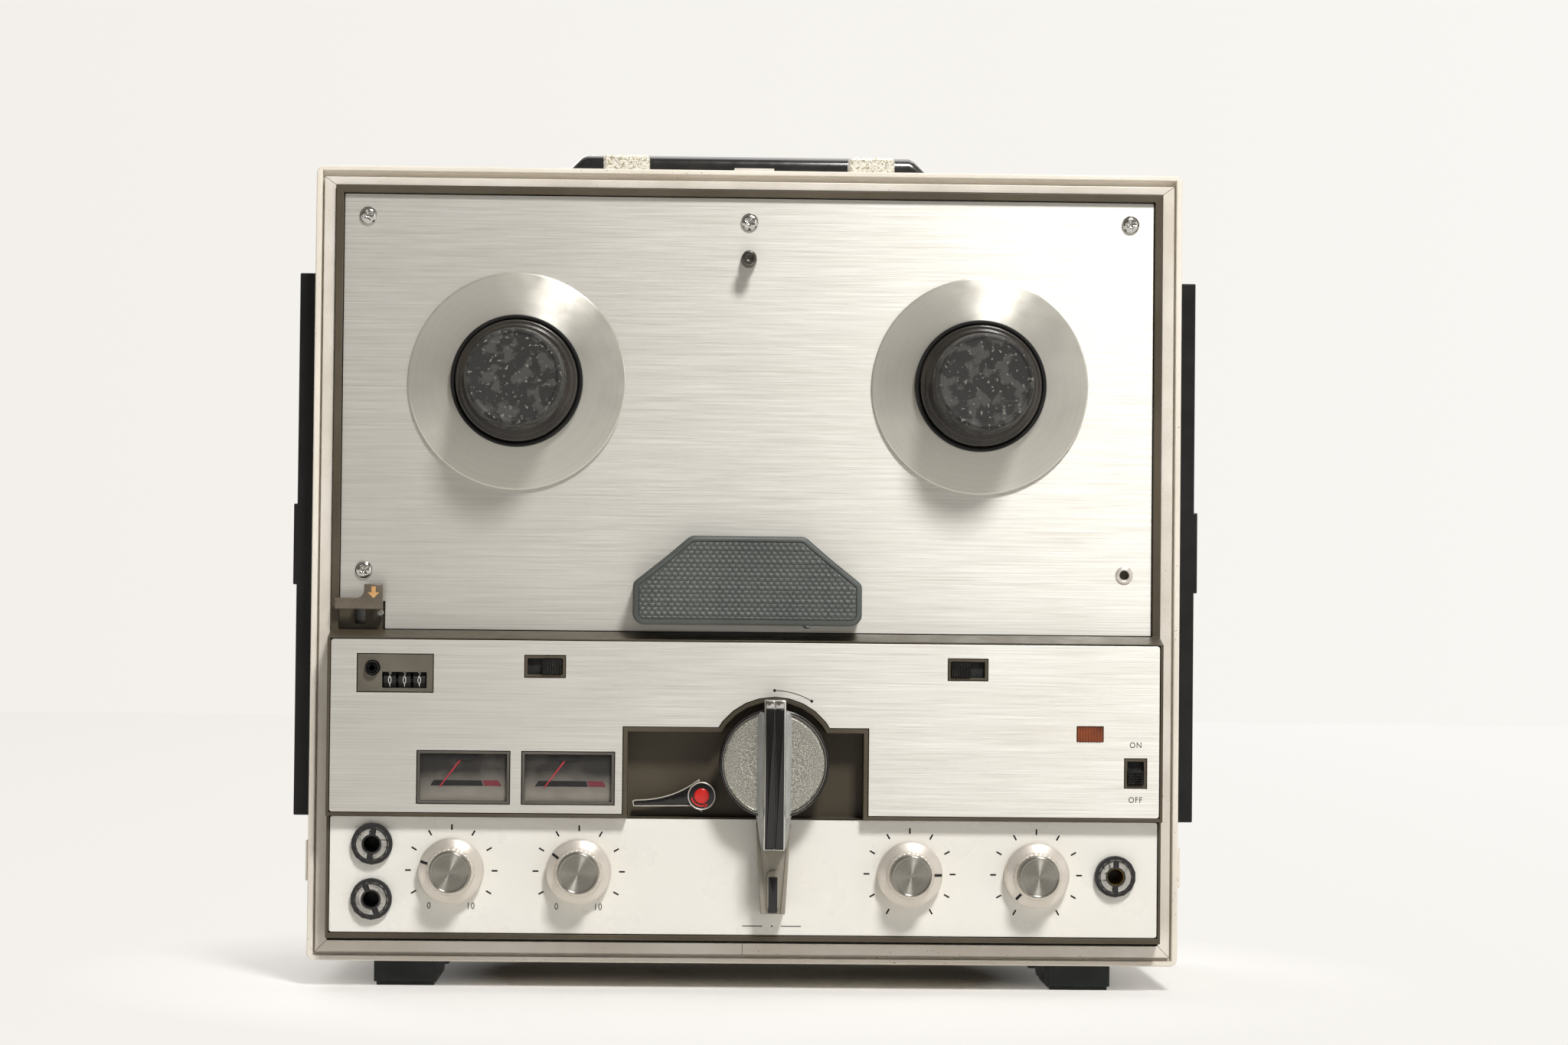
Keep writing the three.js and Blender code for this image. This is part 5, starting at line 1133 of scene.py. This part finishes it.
def marks():
    """The printed marks: ticks about the four knobs, plain figures, switch words, and the knob's arc."""
    ticks = []
    for word, _, first, last in KNOBS:
        for angle in np.radians(np.arange(first, last + 1, 30)):
            out, side = aimed(angle)
            near, far = [spot(word + "_knob") + out * radius for radius in (15.7, 18)]
            wide = side * 0.32
            ticks.append(ink_patch([near + wide, near - wide, far - wide, far + wide], LOWER_FACE))
    low = corners("lower_plate")[0][2] + 3.3
    for x0, x1, z0, z1 in ((-11.6, -3.8, 0, 0.35), (3.5, 11.3, 0, 0.35), (-0.4, 0.2, -0.1, 0.5)):
        ticks.append(ink_patch(box_loop(KNOB_X + x0, KNOB_X + x1, low + z0, low + z1), LOWER_FACE))
    piece("lower_plate_ticks", gathered(ticks), black_ink, smooth=0)
    for word in ("left", "right"):
        x, z = spot(word + "_volume_knob")
        printed(word + "_figure_0", "0", x - 8.6, z - 13.6, LOWER_FACE, 2.6, 0.85)
        printed(word + "_figure_10", "10", x + 7.6, z - 13.6, LOWER_FACE, 2.6, 0.85)
    x, z = spot("speaker_switch_slider") - (0.05, 0)
    printed("speaker_on", "ON", x, z + 12.9, CONTROL_FACE, 2.3, 0.9)
    printed("speaker_off", "OFF", x, z - 8.5, CONTROL_FACE, 2.3, 0.9)
    turn = np.radians(np.linspace(90, 59, 20))
    radius, width, dot, at = 28.4, 0.3, 0.6, (KNOB_X, KNOB_Z)
    bow = np.vstack([arc(*at, radius, turn), arc(*at, radius - width, turn[::-1])])
    shapes = [ink_patch(bow, CONTROL_FACE)]
    for place in arc(*at, radius - width / 2, turn[[0, -1]]):
        loop = ring_loop(*place, dot, 20)
        shapes.append(slab(loop, CONTROL_FACE - 0.05, CONTROL_FACE + DEEP, edge=0.01))
    piece("function_arc", gathered(shapes), black_ink, smooth=0)


for word, aim, _, _ in KNOBS:
    lower_knob(word, aim)
low, high = corners("microphone_jacks")
half_ring = 8.1
across = (low[0] + high[0]) / 2
jack("upper_microphone_jack", across, high[2] - half_ring, 83, dark_steel)
jack("lower_microphone_jack", across, low[2] + half_ring, 112, dark_steel)
jack("headphone_jack_front", *spot("headphone_jack"), 88, brass)
marks()

# Trim joints, lid keepers, handle, feet and rear fittings


def trim_joints():
    """The trim's joints: a fine dark line on each mitre, and one across the lower bar."""
    low, high = corners("front_trim")
    side, top, bottom = 4.5, 3.2, 4.5
    face, back, line = low[1] - 0.02, low[1] + 0.08, 0.09
    lines = []
    for x, inward in ((low[0], 1), (high[0], -1)):
        for z, step in ((high[2], -top), (low[2], bottom)):
            start, end = np.array([x, z]), np.array([x + inward * side, z + step])
            across = aimed(math.atan2(step, inward * side))[1] * line
            loop = [start + across, start - across, end - across, end + across]
            lines.append(slab(loop, face, back, 0.02))
    lines.append(slab(box_loop(-0.4 - line, -0.4 + line, low[2], low[2] + bottom), face, back, 0.02))
    piece("trim_joints", gathered(lines), black_ink, smooth=0)


def lid_keepers():
    """The three keepers for the lid's catches: thin plates on both sides and on top, near the rim."""
    low, high = corners("case_shell")
    proud, front, back, length, foot = 1.1, 2.0, 20.0, 15.8, 41.0
    plates = [slab(box_loop(-6.6, length - 6.6, high[2] - 1, high[2] + proud, 0.4), front, back, 0.4)]
    for edge, out in ((low[0], -1), (high[0], 1)):
        span = sorted((edge - out, edge + out * proud))
        plates.append(slab(box_loop(*span, foot, foot + length, 0.4), front, back, 0.4))
    piece("lid_keeper_plates", gathered(plates), cream_lacquer, smooth=35)


def carrying_handle():
    """The handle: a grip with a rounded section and cut-off ends, and two arms with round eyes.

    Each section of the grip is a rectangle in Y and Z with eased corners. Its top falls 45° at the ends."""
    low, high = corners("handle")
    front, back, cut, step = high[1] - 18.0, high[1], 7.0, 0.6
    places = [low[0], low[0] + step, low[0] + cut - 1, low[0] + cut + 1]
    places = np.array(places + [-x for x in places[::-1]])
    loops = []
    for x in places:
        inset = step if abs(abs(x) - high[0]) < 0.01 else 0.0
        top = high[2] - max(0.0, abs(x) + cut - high[0]) - inset
        corner = min(4.5, (top - low[2]) / 2.4)
        section = eased_loop(box_loop(front + inset, back - inset, low[2] + inset, top), corner, 5)
        loops.append(np.stack([np.full(len(section), x), section[:, 0], section[:, 1]], axis=1))
    shapes = [loft(loops)]
    pivot_y, half = low[1] + 3.7, 3.6
    pivot_z = low[2] + 4.6
    for bracket in ("left_handle_bracket", "right_handle_bracket"):
        near, far = corners(bracket)
        x0, x1 = near[0] + 3.4, far[0] - 3.4
        eye = [(1.95, x0), (half, x0), (half, x1), (1.95, x1), (1.95, x0)]
        shapes.append(cross_lathe(eased(eye, 0.3, 3), pivot_y, pivot_z))
        arm = slab(box_loop(x0, x1, pivot_z - half, pivot_z + half, 0.5), pivot_y + 2.3, front + 1.0, 0.1)
        shapes.append(arm)
    piece("handle_grip", gathered(shapes), handle_abs, "handle", ["handle"], smooth=30)


def foot(name):
    """One foot: a block whose inner end slants, on a pad drawn in by 1 mm; rectangles at rising heights."""
    low, high = corners(name)
    slant = 18.0
    loops = []
    for z, inset in ((0.0, 1.0), (1.2, 1.0), (1.5, 0.0), (high[2] - 0.3, 0.0), (high[2], 0.3)):
        short = slant * (1 - z / high[2])
        y0, y1 = (low[1], high[1] - short) if low[1] < 40 else (low[1] + short, high[1])
        loop = box_loop(low[0] + inset, high[0] - inset, y0 + inset, y1 - inset, 0.8)
        loops.append(np.column_stack([loop, np.full(len(loop), z)]))
    piece(name + "_block", loft(loops), foot_abs, "recorder", [name], smooth=35)


def rear_fittings():
    """Behind: six pan-headed screws on the cover, and the ribbed latch of the battery door."""
    low, high = corners("rear_cover")
    rows = (("lower", low[2] + 14), ("middle", (low[2] + high[2]) / 2), ("upper", high[2] - 14))
    for word, z in rows:
        for side, x in (("left", low[0] + 12), ("right", high[0] - 12)):
            pan_screw("cover_" + word + "_" + side + "_screw", x, z, high[1], 0.4 + z / 90, out=1)
    low, high = corners("battery_door")
    ridges = []
    for row in range(4):
        z = high[2] - 8.5 + row * 1.9
        loop = box_loop(-9.0, 9.0, z, z + 1.2, 0.4)
        ridges.append(stepped(loop, [(0, high[1] - 0.4), (0, high[1] + 0.5), (0.3, high[1] + 0.9)]))
    latch = gathered(ridges)
    piece("battery_door_ridges", latch, cream_lacquer, "battery_door", smooth=35)


trim_joints()
lid_keepers()
carrying_handle()
for name in ("front_left_foot", "front_right_foot", "rear_left_foot", "rear_right_foot"):
    foot(name)
rear_fittings()
